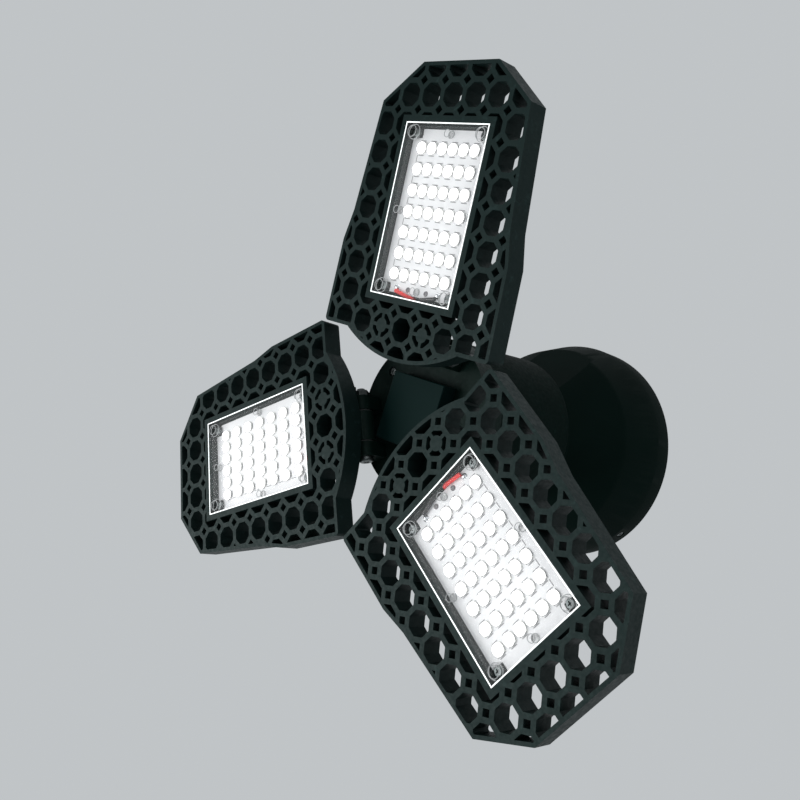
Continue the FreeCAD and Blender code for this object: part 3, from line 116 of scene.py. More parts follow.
# the studio, in metres and watts
FLOOR_LEVEL = -1.6
FLOOR_SIZE = 6.0
LIGHTS_AIM = (0.0, 0.0, -0.12)

# the photograph's camera: place in metres, directions, and focal length in pixels of its 800
CAMERA_PLACE = (0.2798, -0.0228, -0.4325)
CAMERA_RIGHT = (0.67538, -0.28869, 0.67861)
CAMERA_UP = (-0.23782, -0.95629, -0.17013)
CAMERA_AHEAD = (-0.69807, 0.04649, 0.71452)
FOCAL_PIXELS = 889.977
PHOTO_PIXELS = 800
SENSOR_WIDTH = 36.0


# ---------------------------------------------------------------------------
# Places
# ---------------------------------------------------------------------------


def hinge_place(wing, folded=True):
    """Matrix from a wing's own frame, in millimetres, to the lamp's frame in metres."""
    turn, fold = WINGS[wing]
    matrix = Matrix.Rotation(math.radians(turn), 4, "Z")
    matrix = matrix @ Matrix.Translation((0, HINGE_RADIUS * MM, -HINGE_DROP * MM))
    if folded:
        matrix = matrix @ Matrix.Rotation(math.radians(fold), 4, "X")
    return matrix @ Matrix.Scale(MM, 4)


# ---------------------------------------------------------------------------
# Finishes
# ---------------------------------------------------------------------------


class Finish:
    """A material with its nodes, built on object coordinates."""

    def __init__(self, name):
        self.material = bpy.data.materials.new(name)
        self.material.use_nodes = True
        self.nodes = self.material.node_tree.nodes
        self.links = self.material.node_tree.links
        self.shader = self.nodes["Principled BSDF"]
        self.places = self.nodes.new("ShaderNodeTexCoord").outputs["Object"]

    def set(self, **values):
        for name, value in values.items():
            self.shader.inputs[name.replace("_", " ")].default_value = value

    def noise(self, per_metre, detail=3.0, roughness=0.55):
        node = self.nodes.new("ShaderNodeTexNoise")
        node.inputs["Scale"].default_value = per_metre
        node.inputs["Detail"].default_value = detail
        node.inputs["Roughness"].default_value = roughness
        self.links.new(self.places, node.inputs["Vector"])
        return node.outputs["Fac"]

    def ramp(self, source, low, high, stops=(0.3, 0.7)):
        """Map a grey value to a range of numbers."""
        node = self.nodes.new("ShaderNodeMapRange")
        node.inputs["From Min"].default_value = stops[0]
        node.inputs["From Max"].default_value = stops[1]
        node.inputs["To Min"].default_value = low
        node.inputs["To Max"].default_value = high
        self.links.new(source, node.inputs["Value"])
        return node.outputs["Result"]

    def blend(self, source, first, second, stops=(0.3, 0.7)):
        """A colour that goes from the first to the second with a grey value."""
        node = self.nodes.new("ShaderNodeValToRGB")
        node.color_ramp.elements[0].position = stops[0]
        node.color_ramp.elements[1].position = stops[1]
        node.color_ramp.elements[0].color = (*first, 1)
        node.color_ramp.elements[1].color = (*second, 1)
        self.links.new(source, node.inputs["Fac"])
        return node.outputs["Color"]

    def over(self, colour, second, share):
        """The second colour laid over an output's colour by a grey value."""
        node = self.nodes.new("ShaderNodeMixRGB")
        node.inputs["Color2"].default_value = (*second, 1)
        self.links.new(colour, node.inputs["Color1"])
        self.links.new(share, node.inputs["Fac"])
        return node.outputs["Color"]

    def colour(self, output):
        self.links.new(output, self.shader.inputs["Base Color"])

    def rough(self, output):
        self.links.new(output, self.shader.inputs["Roughness"])

    def bump(self, *layers):
        """Stack bumps, each (height output, strength, depth in millimetres)."""
        last = None
        for height, strength, depth in layers:
            node = self.nodes.new("ShaderNodeBump")
            node.inputs["Strength"].default_value = strength
            node.inputs["Distance"].default_value = depth * MM
            self.links.new(height, node.inputs["Height"])
            if last is not None:
                self.links.new(last, node.inputs["Normal"])
            last = node.outputs["Normal"]
        self.links.new(last, self.shader.inputs["Normal"])


def powder_coat(name, dark, light, gloss=(0.4, 0.58), specular=0.1):
    """Satin powder coat: slight orange peel over a fine grain, with fine pale scuffs."""
    finish = Finish(name)
    broad = finish.noise(38.0, 4.0)
    fine = finish.noise(2600.0, 2.0)
    peel = finish.noise(620.0, 2.0)
    scuffs = finish.ramp(finish.noise(240.0, 6.0, 0.75), 0.0, 1.0, (0.56, 0.72))
    scuffed = [1.9 * tone for tone in light]
    finish.colour(finish.over(finish.blend(broad, dark, light), scuffed, scuffs))
    finish.rough(finish.ramp(peel, *gloss))
    finish.bump((peel, 0.35, 0.06), (fine, 0.5, 0.05))
    finish.set(Specular_IOR_Level=specular, Specular_Tint=COOL_SHEEN)
    return finish.material


def moulded(name, dark, light, gloss=(0.45, 0.62), grain=0.06, specular=0.3, sheen=(1, 1, 1, 1)):
    """Moulded plastic with a spark-eroded texture."""
    finish = Finish(name)
    broad = finish.noise(26.0, 3.0)
    grains = finish.noise(1700.0, 4.0, 0.7)
    finish.colour(finish.blend(broad, dark, light))
    finish.rough(finish.ramp(grains, *gloss))
    finish.bump((grains, 0.55, grain))
    finish.set(Specular_IOR_Level=specular, Specular_Tint=sheen)
    return finish.material


def plated(name, tone, second, gloss=(0.22, 0.42)):
    """Plated or rolled sheet metal with fine scratches and slight staining."""
    finish = Finish(name)
    scratches = finish.noise(900.0, 3.0, 0.7)
    stain = finish.noise(110.0, 3.0)
    finish.colour(finish.blend(stain, tone, second))
    finish.rough(finish.ramp(scratches, *gloss))
    finish.bump((scratches, 0.25, 0.02))
    finish.set(Metallic=1.0)
    return finish.material


def lit_lens(name, front, foot):
    """The emitters: lit moulded lenses, darker at the foot; front is the way that they face."""
    finish = Finish(name)
    finish.set(Base_Color=(0.7, 0.7, 0.68, 1), Roughness=0.2, Emission_Color=(1.0, 1.0, 0.985, 1))
    height = finish.nodes.new("ShaderNodeVectorMath")
    height.operation = "DOT_PRODUCT"
    height.inputs[1].default_value = front
    finish.links.new(finish.places, height.inputs[0])
    # the glow starts 0.1 mm above the foot and is full at 0.8 mm
    glow = finish.ramp(height.outputs["Value"], 0.0, 4.4, (foot + 0.1 * MM, foot + 0.8 * MM))
    finish.links.new(glow, finish.shader.inputs["Emission Strength"])
    return finish.material


def clear_moulding(name):
    """Clear moulded cover, with faint flow marks."""
    finish = Finish(name)
    finish.set(Base_Color=(0.95, 0.98, 0.98, 1), Alpha=0.03, IOR=1.49)
    marks = finish.noise(60.0, 2.0)
    finish.rough(finish.ramp(marks, 0.02, 0.09))
    finish.bump((marks, 0.2, 0.05))
    return finish.material


def painted_glow_edge(name, strength, tone):
    """A painted glow on an edge of the clear cover, standing in for the emitters' light that it carries.
    """
    finish = Finish(name)
    finish.set(Base_Color=(*tone, 1), Roughness=0.25, Emission_Color=(0.96, 1.0, 1.0, 1))
    flow = finish.noise(420.0, 2.0)
    # the painted glow's strength varies in patches
    glow = finish.ramp(flow, strength * 0.8, strength * 1.15)
    finish.links.new(glow, finish.shader.inputs["Emission Strength"])
    return finish.material


def wire_sleeve(name, tone, dark):
    """Insulated wire."""
    finish = Finish(name)
    print_marks = finish.noise(700.0, 2.0)
    finish.colour(finish.blend(print_marks, tone, dark, (0.45, 0.9)))
    finish.rough(finish.ramp(print_marks, 0.32, 0.5))
    finish.bump((print_marks, 0.2, 0.03))
    return finish.material


# reflections off the dark coats are slightly cool
COOL_SHEEN = (0.8, 1.0, 0.97, 1)
WORN_GLOSS = (0.28, 0.42)

WING_BLACK = powder_coat("wing powder coat", (0.0046, 0.0115, 0.0108), (0.0074, 0.0158, 0.0149))
# lighter copy of the wing coat for broken edges: partly edge wear, partly a painted highlight along the
# rims
WING_EDGE_WEAR_AND_HIGHLIGHT = powder_coat("wing edge wear and painted highlight", (0.0085, 0.0190, 0.0182), (0.0170, 0.0310, 0.0300),
                        WORN_GLOSS)
HOUSING_BLACK = powder_coat("housing powder coat", (0.0018, 0.0075, 0.0055), (0.0032, 0.0110, 0.0085))
# lighter copy of the housing coat for broken edges: partly edge wear, partly a painted highlight along
# the rims
HOUSING_EDGE_WEAR_AND_HIGHLIGHT = powder_coat("housing edge wear and painted highlight", (0.0040, 0.0120, 0.0095), (0.0085, 0.0190, 0.0160),
                           WORN_GLOSS)
# a rougher, less glossy copy of the housing coat, made darker to paint the shade that falls on the
# housing between the wings
DRIVER_SHADED_BLACK = powder_coat("driver housing coat with painted shade", (0.0008, 0.0046, 0.0035), (0.0014, 0.0066, 0.0052),
                           (0.56, 0.72), specular=0.04)
BRACKET_BLACK = powder_coat("bracket powder coat", (0.0025, 0.0090, 0.0068), (0.0045, 0.0130, 0.0105))
# lighter copy of the bracket coat for broken edges: partly edge wear, partly a painted highlight along
# the rims
BRACKET_EDGE_WEAR_AND_HIGHLIGHT = powder_coat("bracket edge wear and painted highlight", (0.0060, 0.0150, 0.0125), (0.0120, 0.0240, 0.0210),
                           WORN_GLOSS)
CAP_GREEN = moulded("hub cap moulding", (0.0018, 0.0098, 0.0092), (0.0028, 0.0128, 0.0120),
                    (0.46, 0.58), specular=0.05, sheen=COOL_SHEEN)
# a near-black moulding, made darker than the wings partly to paint the shade that the bell sits in
CANOPY_SHADED_BLACK = moulded("canopy moulding with painted shade", (0.0006, 0.0046, 0.0034), (0.0014, 0.0070, 0.0054),
                       (0.52, 0.68), specular=0.045, sheen=COOL_SHEEN)
INSULATOR = moulded("socket insulator", (0.62, 0.6, 0.55), (0.72, 0.7, 0.65), (0.35, 0.5), 0.03, 0.5)
BEAD = moulded("insulator bead", (0.01, 0.01, 0.012), (0.02, 0.02, 0.022), (0.1, 0.2), 0.01, 0.5)
BOARD_WHITE = moulded("white solder mask", (0.66, 0.66, 0.67), (0.75, 0.75, 0.76), (0.3, 0.45),
                      0.02, 0.5)
BOARD_GREEN = moulded("green solder mask", (0.03, 0.15, 0.07), (0.05, 0.21, 0.1), (0.25, 0.4), 0.02, 0.5)
COIL_TAPE = moulded("coil tape", (0.7, 0.5, 0.06), (0.8, 0.6, 0.1), (0.3, 0.5), 0.05, 0.5)
CAN_SLEEVE = moulded("can sleeve", (0.015, 0.02, 0.05), (0.025, 0.03, 0.07), (0.25, 0.4), 0.02, 0.5)
CHIP_BLACK = moulded("chip package", (0.02, 0.02, 0.02), (0.03, 0.03, 0.03), (0.5, 0.7), 0.02, 0.5)
WASHER_GREY = moulded("washer fibre", (0.03, 0.035, 0.035), (0.05, 0.055, 0.055), (0.6, 0.8), 0.05, 0.4)
ZINC = plated("zinc screw", (0.55, 0.56, 0.57), (0.68, 0.69, 0.69))
DARK_ZINC = plated("dark zinc screw", (0.10, 0.115, 0.115), (0.16, 0.175, 0.175), (0.3, 0.48))
BRASS = plated("socket brass", (0.72, 0.5, 0.2), (0.8, 0.6, 0.28), (0.2, 0.36))
NICKEL = plated("base shell plating", (0.66, 0.66, 0.64), (0.76, 0.75, 0.72), (0.18, 0.34))
SOLDER = plated("solder", (0.62, 0.64, 0.66), (0.75, 0.76, 0.78), (0.18, 0.3))
TRACK = moulded("board track", (0.13, 0.13, 0.135), (0.20, 0.20, 0.205), (0.35, 0.5), 0.02, 0.5)
RIVET = moulded("board rivet", (0.10, 0.095, 0.10), (0.16, 0.15, 0.16), (0.3, 0.45), 0.02, 0.5)
COVER = clear_moulding("clear cover")
# painted glow on the cover's edge strip, standing in for the emitters' light
COVER_EDGE_GLOW = painted_glow_edge("cover edge painted glow", 0.7, (0.9, 0.93, 0.93))
# painted glow on the rims of the cover's studs, pillars and posts
COVER_RING_GLOW = painted_glow_edge("cover stud rim painted glow", 0.2, (0.15, 0.16, 0.165))
RED_LEAD = wire_sleeve("red lead", (0.80, 0.020, 0.018), (0.60, 0.012, 0.012))
BLACK_LEAD = wire_sleeve("black lead", (0.015, 0.015, 0.016), (0.03, 0.03, 0.03))


# ---------------------------------------------------------------------------
# Mesh helpers
# ---------------------------------------------------------------------------


def object_from(name, mesh):
    piece = bpy.data.objects.new(name, mesh)
    bpy.context.scene.collection.objects.link(piece)
    return piece


def painted(mesh, *materials):
    """Give a mesh these materials and no others."""
    mesh.materials.clear()
    for material in materials:
        mesh.materials.append(material)


def finished(mesh, material, edge_material=None, sharp=SHARP):
    """Smooth shading that stays crisp at real corners; broken edges may have a finish of their own."""
    indices = [face.material_index for face in mesh.polygons]
    if edge_material is None:
        painted(mesh, material)
    else:
        painted(mesh, material, edge_material)
        mesh.polygons.foreach_set("material_index", indices)
    mesh.shade_smooth()
    mesh.set_sharp_from_angle(angle=math.radians(sharp))
    return mesh


def mesh_from(bm, name, matrix=None):
    mesh = bpy.data.meshes.new(name)
    if matrix is not None:
        bm.transform(matrix)
    bmesh.ops.recalc_face_normals(bm, faces=bm.faces[:])
    bm.to_mesh(mesh)
    bm.free()
    return mesh


def applied(piece):
    """Replace a piece's mesh with its evaluated one and drop the modifiers."""
    depsgraph = bpy.context.evaluated_depsgraph_get()
    mesh = bpy.data.meshes.new_from_object(piece.evaluated_get(depsgraph))
    piece.modifiers.clear()
    old = piece.data
    piece.data = mesh
    bpy.data.meshes.remove(old)
    return piece


def drop(piece):
    """Remove a piece that was only needed to make others."""
    mesh = piece.data
    bpy.data.objects.remove(piece)
    bpy.data.meshes.remove(mesh)


def circle(bm, radius, height, count):
    """Vertices on a circle about Z."""
    turns = [2 * math.pi * step / count for step in range(count)]
    return [bm.verts.new((radius * math.cos(turn), radius * math.sin(turn), height)) for turn in turns]


def join_rings(bm, rings):
    """Faces from each ring to the next; a ring of one vertex is a pole."""
    for low, high in zip(rings, rings[1:]):
        count = max(len(low), len(high))
        for step in range(count):
            following = (step + 1) % count
            corners = [low[step % len(low)], low[following % len(low)],
                       high[following % len(high)], high[step % len(high)]]
            corners = list(dict.fromkeys(corners))
            if len(corners) > 2:
                bm.faces.new(corners)


def lathe(bm, profile, segments):
    """Turn a profile of (radius, height) about Z. Radius 0 closes a pole."""
    rings = [[bm.verts.new((0, 0, height))] if radius == 0 else circle(bm, radius, height, segments)
             for radius, height in profile]
    join_rings(bm, rings)
    return rings


def block(bm, size, centre):
    """A box inside a mesh."""
    made = bmesh.ops.create_cube(bm, size=1.0)["verts"]
    bmesh.ops.scale(bm, vec=size, verts=made)
    bmesh.ops.translate(bm, vec=centre, verts=made)
    return made


def cut_away(piece, cutter):
    """Take one mesh out of another."""
    difference = piece.modifiers.new("recess", "BOOLEAN")
    difference.operation = "DIFFERENCE"
    difference.solver = "EXACT"
    difference.use_self = True  # the arms of a cross cutter run through each other
    difference.object = cutter
    applied(piece)
    drop(cutter)
    return piece


# ---------------------------------------------------------------------------
# Softened copies of machined and moulded pieces
# ---------------------------------------------------------------------------


def merged_copy(node, name, keep=None):
    """A copy of a piece with its triangles merged into whole faces; keep picks faces by their centre."""
    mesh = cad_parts[node].data.copy()
    bm = bmesh.new()
    bm.from_mesh(mesh)
    if keep is not None:
        spare = [face for face in bm.faces if not keep(face.calc_center_median())]
        bmesh.ops.delete(bm, geom=spare, context="FACES")
    bmesh.ops.remove_doubles(bm, verts=bm.verts[:], dist=0.002 * MM)
    bmesh.ops.dissolve_limit(bm, angle_limit=math.radians(0.6),
                             verts=bm.verts[:], edges=bm.edges[:])
    bm.to_mesh(mesh)
    bm.free()
    return object_from(name, mesh)


def bevelled(piece, width, limit, slot=-1):
    """Bevel a piece's sharp or weighted edges; slot is the bevel's own material."""
    bevel = piece.modifiers.new("broken edges", "BEVEL")
    bevel.width = width * MM
    bevel.segments = 2
    bevel.limit_method = limit
    bevel.angle_limit = math.radians(32.0)
    bevel.use_clamp_overlap = True
    bevel.material = slot
    applied(piece)


def evened(piece):
    """Let the broad faces set the shading, so that broken edges don't streak it."""
    even = piece.modifiers.new("even shading", "WEIGHTED_NORMAL")
    even.keep_sharp = True
    even.weight = 90
    return applied(piece)


def is_turned_facet(face, points):
    """True for a narrow facet of a surface that was turned about the lamp's axis."""
    middle = face.center.to_2d()
    outward = face.normal.to_2d()
    if middle.length < 5 * MM or outward.length < 0.05:  # too near the axis, or facing along it
        return False
    widest = max(abs(middle.angle_signed(point)) for point in points)
    return widest <= math.radians(5) and abs(math.sin(middle.angle_signed(outward))) <= 0.1


def rounded_shading(piece):
    """Shade the facets of surfaces turned about the lamp's axis as true rounds."""
    mesh = piece.data
    normals = [corner.vector.copy() for corner in mesh.corner_normals]
    for face in mesh.polygons:
        points = [mesh.vertices[index].co.to_2d() for index in face.vertices]
        if not is_turned_facet(face, points):
            continue
        for point, corner in zip(points, face.loop_indices):
            faceted = normals[corner]
            level = math.copysign(faceted.to_2d().length, faceted.to_2d().dot(point))
            normals[corner] = Vector((*(level * point.normalized()), faceted.z))
    mesh.normals_split_custom_set(normals)
    return piece


def softened(node, material, edge, edge_material=None, keep=None, name=None, sharp=SHARP):
    """A copy of a piece with its corners broken by a small bevel."""
    piece = merged_copy(node, name or node + "_finished", keep)
    if edge_material is not None:
        painted(piece.data, material, edge_material)
    if edge > 0:
        bevelled(piece, edge, "ANGLE", slot=-1 if edge_material is None else 1)
    finished(piece.data, material, edge_material, sharp)
    return evened(piece)


def mark_cell_corners(piece, upright):
    """Give the upright inner corners of the eight-sided holes a bevel weight."""
    bm = bmesh.new()
    bm.from_mesh(piece.data)
    weight = bm.edges.layers.float.new("bevel_weight_edge")
    for edge in bm.edges:
        if len(edge.link_faces) != 2:
            continue
        span = (edge.verts[1].co - edge.verts[0].co).normalized()
        bend = math.degrees(edge.calc_face_angle_signed())
        if abs(span.dot(upright)) > 0.999 and -56.0 < bend < -34.0:
            edge[weight] = 1.0
    bm.to_mesh(piece.data)
    bm.free()


def softened_frame(wing):
    """The lattice frame with rounded holes and broken edges."""
    node = "wing_frame_" + wing
    piece = merged_copy(node, node + "_finished")
    upright = hinge_place(wing).to_3x3() @ Vector((0, 0, 1))
    mark_cell_corners(piece, upright.normalized())
    bevelled(piece, CELL_ROUND, "WEIGHT")
    painted(piece.data, WING_BLACK, WING_EDGE_WEAR_AND_HIGHLIGHT)
    # the broken edges take the lighter edge finish: edge wear and a painted highlight
    bevelled(piece, 0.2, "ANGLE", slot=1)
    finished(piece.data, WING_BLACK, WING_EDGE_WEAR_AND_HIGHLIGHT)
    return evened(piece)


def stand_in(piece, node, body):
    """Let a finished piece take a node's place."""
    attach(piece, body)
    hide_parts(node)


# ---------------------------------------------------------------------------
# Repeats
# ---------------------------------------------------------------------------


def started_tree(name, **inputs):
    """A geometry node group with named inputs and one output, and its first and last node."""
    tree = bpy.data.node_groups.new(name, "GeometryNodeTree")
    for label, kind in inputs.items():
        tree.interface.new_socket(name=label, in_out="INPUT", socket_type="NodeSocket" + kind)
    tree.interface.new_socket(name="Pieces", in_out="OUTPUT", socket_type="NodeSocketGeometry")
    return tree, tree.nodes.new("NodeGroupInput"), tree.nodes.new("NodeGroupOutput")


def wired(tree, *joints):
    """Link nodes; a joint is (source, its output, target, its input)."""
    for source, outlet, target, inlet in joints:
        tree.links.new(source.outputs[outlet], target.inputs[inlet])


def repeat_tree():
    """Geometry nodes that put a pattern piece on marked points, each turned as its point says."""
    tree, given, result = started_tree("pattern on marked points", Points="Geometry",
                                       Pattern="Object", Size="Float", Finish="Material")
    pattern = tree.nodes.new("GeometryNodeObjectInfo")
    turn = tree.nodes.new("GeometryNodeInputNamedAttribute")
    turn.data_type = "FLOAT_VECTOR"
    turn.inputs["Name"].default_value = "turn"
    place = tree.nodes.new("GeometryNodeInstanceOnPoints")
    real = tree.nodes.new("GeometryNodeRealizeInstances")
    paint = tree.nodes.new("GeometryNodeSetMaterial")
    wired(tree,
          (given, "Pattern", pattern, "Object"),
          (given, "Points", place, "Points"),
          (pattern, "Geometry", place, "Instance"),
          (turn, "Attribute", place, "Rotation"),
          (given, "Size", place, "Scale"),
          (place, "Instances", real, "Geometry"),
          (real, "Geometry", paint, "Geometry"),
          (given, "Finish", paint, "Material"),
          (paint, "Geometry", result, "Pieces"))
    return tree


def grid_tree():
    """Geometry nodes for a grid of small blocks, such as the copper marks on the board."""
    tree, given, result = started_tree("grid of blocks", Base="Geometry", Columns="Int", Rows="Int",
                                       Width="Float", Length="Float", Block="Vector", Offset="Vector",
                                       Finish="Material")
    grid = tree.nodes.new("GeometryNodeMeshGrid")
    cube = tree.nodes.new("GeometryNodeMeshCube")
    place = tree.nodes.new("GeometryNodeInstanceOnPoints")
    real = tree.nodes.new("GeometryNodeRealizeInstances")
    shift = tree.nodes.new("GeometryNodeTransform")
    paint = tree.nodes.new("GeometryNodeSetMaterial")
    wired(tree,
          (given, "Width", grid, "Size X"),
          (given, "Length", grid, "Size Y"),
          (given, "Columns", grid, "Vertices X"),
          (given, "Rows", grid, "Vertices Y"),
          (given, "Block", cube, "Size"),
          (grid, "Mesh", place, "Points"),
          (cube, "Mesh", place, "Instance"),
          (place, "Instances", real, "Geometry"),
          (real, "Geometry", shift, "Geometry"),
          (given, "Offset", shift, "Translation"),
          (shift, "Geometry", paint, "Geometry"),
          (given, "Finish", paint, "Material"),
          (paint, "Geometry", result, "Pieces"))
    return tree


REPEAT = repeat_tree()
GRID = grid_tree()


def give(modifier, **values):
    """Set a node modifier's inputs by their names."""
    for item in modifier.node_group.interface.items_tree:
        if item.item_type == "SOCKET" and item.in_out == "INPUT" and item.name in values:
            modifier[item.identifier] = values[item.name]


def repeated(name, pattern, places, material):
    """One mesh of a pattern piece, drawn in millimetres, at many places in metres."""
    mesh = bpy.data.meshes.new(name)
    mesh.from_pydata([place.to_translation() for place in places], [], [])
    turns = mesh.attributes.new("turn", "FLOAT_VECTOR", "POINT")
    for turn, place in zip(turns.data, places):
        turn.vector = place.to_euler()
    piece = object_from(name, mesh)
    modifier = piece.modifiers.new("pattern", "NODES")
    modifier.node_group = REPEAT
    give(modifier, Pattern=pattern, Size=MM, Finish=material)
    applied(piece)
    finished(piece.data, material)
    return piece


def block_grid(name, material, counts, span, block_size, offset, matrix):
    """One mesh of blocks in a grid, in millimetres, put in place by a matrix."""
    mesh = bpy.data.meshes.new(name)
    piece = object_from(name, mesh)
    modifier = piece.modifiers.new("grid", "NODES")
    modifier.node_group = GRID
    give(modifier, Columns=counts[0], Rows=counts[1], Width=span[0], Length=span[1],
         Block=block_size, Offset=offset, Finish=material)
    applied(piece)
    piece.data.transform(matrix)
    finished(piece.data, material)
    return piece


def rigid(matrix):
    """The matrix without its scale."""
    place, turn, _ = matrix.decompose()
    return Matrix.Translation(place) @ turn.to_matrix().to_4x4()


def faced(position, along):
    """A place, from a position in millimetres, whose Z points along a direction."""
    turn = Vector(along).to_track_quat("Z", "Y")
    return Matrix.Translation(Vector(position) * MM) @ turn.to_matrix().to_4x4()


# ---------------------------------------------------------------------------
# Screws, bolts and nuts: patterns stand on Z = 0 with the shank along +Z and the head below
# ---------------------------------------------------------------------------


def cross_cutter(radius, depth, width):
    """A tapered cross for a drive recess in the underside of a head."""
    bm = bmesh.new()
    for angle in (0, 90):
        made = block(bm, (radius * 1.25, width, depth * 1.2), (0, 0, -depth))
        tip = [vert for vert in made if vert.co.z > -depth]
        bmesh.ops.scale(bm, vec=(0.55, 0.8, 1.0), verts=tip)
        bmesh.ops.rotate(bm, matrix=Matrix.Rotation(math.radians(angle), 3, "Z"), verts=made)
    return object_from("cross_cutter", mesh_from(bm, "cross_cutter"))


def pan_head(radius, height, shank_radius):
    """Half outline of a rounded pan head: a flattened crown over a short upright side."""
    profile = [(0, -height)]
    for step in range(7):
        angle = math.radians(step * 15)
        profile.append((radius * (0.72 + 0.28 * math.sin(angle)),
                        -height * (0.35 + 0.65 * math.cos(angle))))
    return profile + [(radius, 0.0), (shank_radius, 0.0)]


def sunk_head(radius, height, shank_radius):
    """Half outline of a countersunk head, flush with Z = 0."""
    return [(0, 0.0), (radius * 0.9, 0.0), (radius, 0.0), (radius, 0.12), (shank_radius, height)]


def thread_rings(shank_radius, start, end):
    """Half outline of a shank with a thread groove at every step."""
    turns = max(3, int(end / THREAD_STEP))
    step = (end - start) / turns
    profile = []
    for turn in range(turns):
        profile.append((shank_radius * 0.86, start + (turn + 0.5) * step))
        profile.append((shank_radius, start + (turn + 1) * step))
    return profile + [(0, profile[-1][1])]


def screw_pattern(name, head, shank, sunk=False):
    """A screw with a pan head or a countersunk head, and a cross recess."""
    head_radius, head_height = head
    shank_radius, shank_length = shank
    outline = (sunk_head if sunk else pan_head)(head_radius, head_height, shank_radius)
    profile = outline + thread_rings(shank_radius, outline[-1][1], shank_length)
    bm = bmesh.new()
    lathe(bm, profile, 28)
    piece = object_from(name, mesh_from(bm, name))
    depth = max(head_height, 0.9) * 0.8
    cutter = cross_cutter(head_radius, depth, head_radius * 0.26)
    cutter.data.transform(Matrix.Translation((0, 0, outline[0][1] + depth)))
    return cut_away(piece, cutter)


def nut_pattern(name):
    """A hexagon nut with chamfered corners and a threaded bore, standing on Z = 0."""
    bm = bmesh.new()
    corner = NUT_FLATS / math.sqrt(3)
    narrow = corner * 0.9
    edge = 0.35
    levels = ((narrow, 0.0), (corner, edge), (corner, NUT_HEIGHT - edge), (narrow, NUT_HEIGHT))
    rings = [circle(bm, radius, level, 6) for radius, level in levels]
    join_rings(bm, rings)
    bm.faces.new(rings[-1])
    bm.faces.new(list(reversed(rings[0])))
    piece = object_from(name, mesh_from(bm, name))
    hole = bmesh.new()
    wide = NUT_BORE * 1.15
    profile = [(0, -1.0), (wide, -1.0), (wide, 0.0), (NUT_BORE, edge),
               (NUT_BORE, NUT_HEIGHT - edge), (wide, NUT_HEIGHT), (wide, NUT_HEIGHT + 1),
               (0, NUT_HEIGHT + 1)]
    lathe(hole, profile, 24)
    return cut_away(piece, object_from("nut_bore", mesh_from(hole, "nut_bore")))


SMALL_SCREW = screw_pattern("small_screw_pattern", SMALL_HEAD, (1.2, 8.0))
COVER_SCREW = screw_pattern("cover_screw_pattern", SMALL_HEAD, (1.2, 3.6))
LONG_SCREW = screw_pattern("long_screw_pattern", SMALL_HEAD, (1.2, 21.1))
SUNK_SCREW = screw_pattern("sunk_screw_pattern", SUNK_HEAD, (1.45, 8.5), sunk=True)
HINGE_BOLT = screw_pattern("hinge_bolt_pattern", BOLT_HEAD, (2.0, 34.0))
HINGE_NUT = nut_pattern("hinge_nut_pattern")
PATTERNS = [SMALL_SCREW, COVER_SCREW, LONG_SCREW, SUNK_SCREW, HINGE_BOLT, HINGE_NUT]


# ---------------------------------------------------------------------------
# Wings
# ---------------------------------------------------------------------------


def window_places(wing, spots, level):
    """Places on a wing that face up, from spots measured from the middle of the window."""
    place = rigid(hinge_place(wing))
    return [place @ faced((x, WINDOW_MIDDLE + y, level), (0, 0, 1)) for x, y in spots]


def cover_edge(wing):
    """The outline of the clear cover's face, with a painted glow for the emitters' light that it
    carries.
    """
    bm = bmesh.new()
    width, length = COVER_SIZE
    outlines = []
    for inset, level in ((0.0, 0.0), (0.0, -EDGE_ROUND), (EDGE_ROUND, -EDGE_RISE),
                         (EDGE_STRIP - EDGE_ROUND, -EDGE_RISE), (EDGE_STRIP, -EDGE_ROUND),
                         (EDGE_STRIP, 0.0)):
        across, along = width / 2 - inset, length / 2 - inset
        corners = [(-across, -along), (across, -along), (across, along), (-across, along)]
        outlines.append([bm.verts.new((x, WINDOW_MIDDLE + y, FRONT_LEVEL + level))
                         for x, y in corners])
    join_rings(bm, outlines + outlines[:1])
    mesh = mesh_from(bm, "cover_edge_" + wing, hinge_place(wing))
    piece = object_from("cover_edge_" + wing, finished(mesh, COVER_EDGE_GLOW))
    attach(piece, "wing_" + wing)


def rim_pattern(name, radius):
    """A thin round rim, such as the end of a clear stud."""
    bm = bmesh.new()
    turns = [2 * math.pi * step / 8 for step in range(8)]
    profile = [(radius + RIM_TUBE * math.cos(turn), RIM_TUBE * math.sin(turn)) for turn in turns]
    rings = lathe(bm, profile, 28)
    join_rings(bm, [rings[-1], rings[0]])
    return object_from(name, mesh_from(bm, name))


def cover_rings(wing):
    """Thin rims on the clear cover's studs, screw pillars and posts, with a painted glow for the
    emitters' light that they catch.
    """
    for label, radius, spots, levels in (
        ("stud", STUD_RADIUS, STUDS, (COVER_BACK, STUD_END)),
        ("pillar", PILLAR_RADIUS, COVER_SCREWS, (PILLAR_MOUTH,)),
        ("post", POST_RADIUS, COVER_SCREWS, (COVER_BACK,)),
    ):
        pattern = rim_pattern(f"{label}_rim_pattern", radius)
        places = [place for level in levels for place in window_places(wing, spots, level)]
        piece = repeated(f"{label}_rims_{wing}", pattern, places, COVER_RING_GLOW)
        drop(pattern)
        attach(piece, "wing_" + wing)


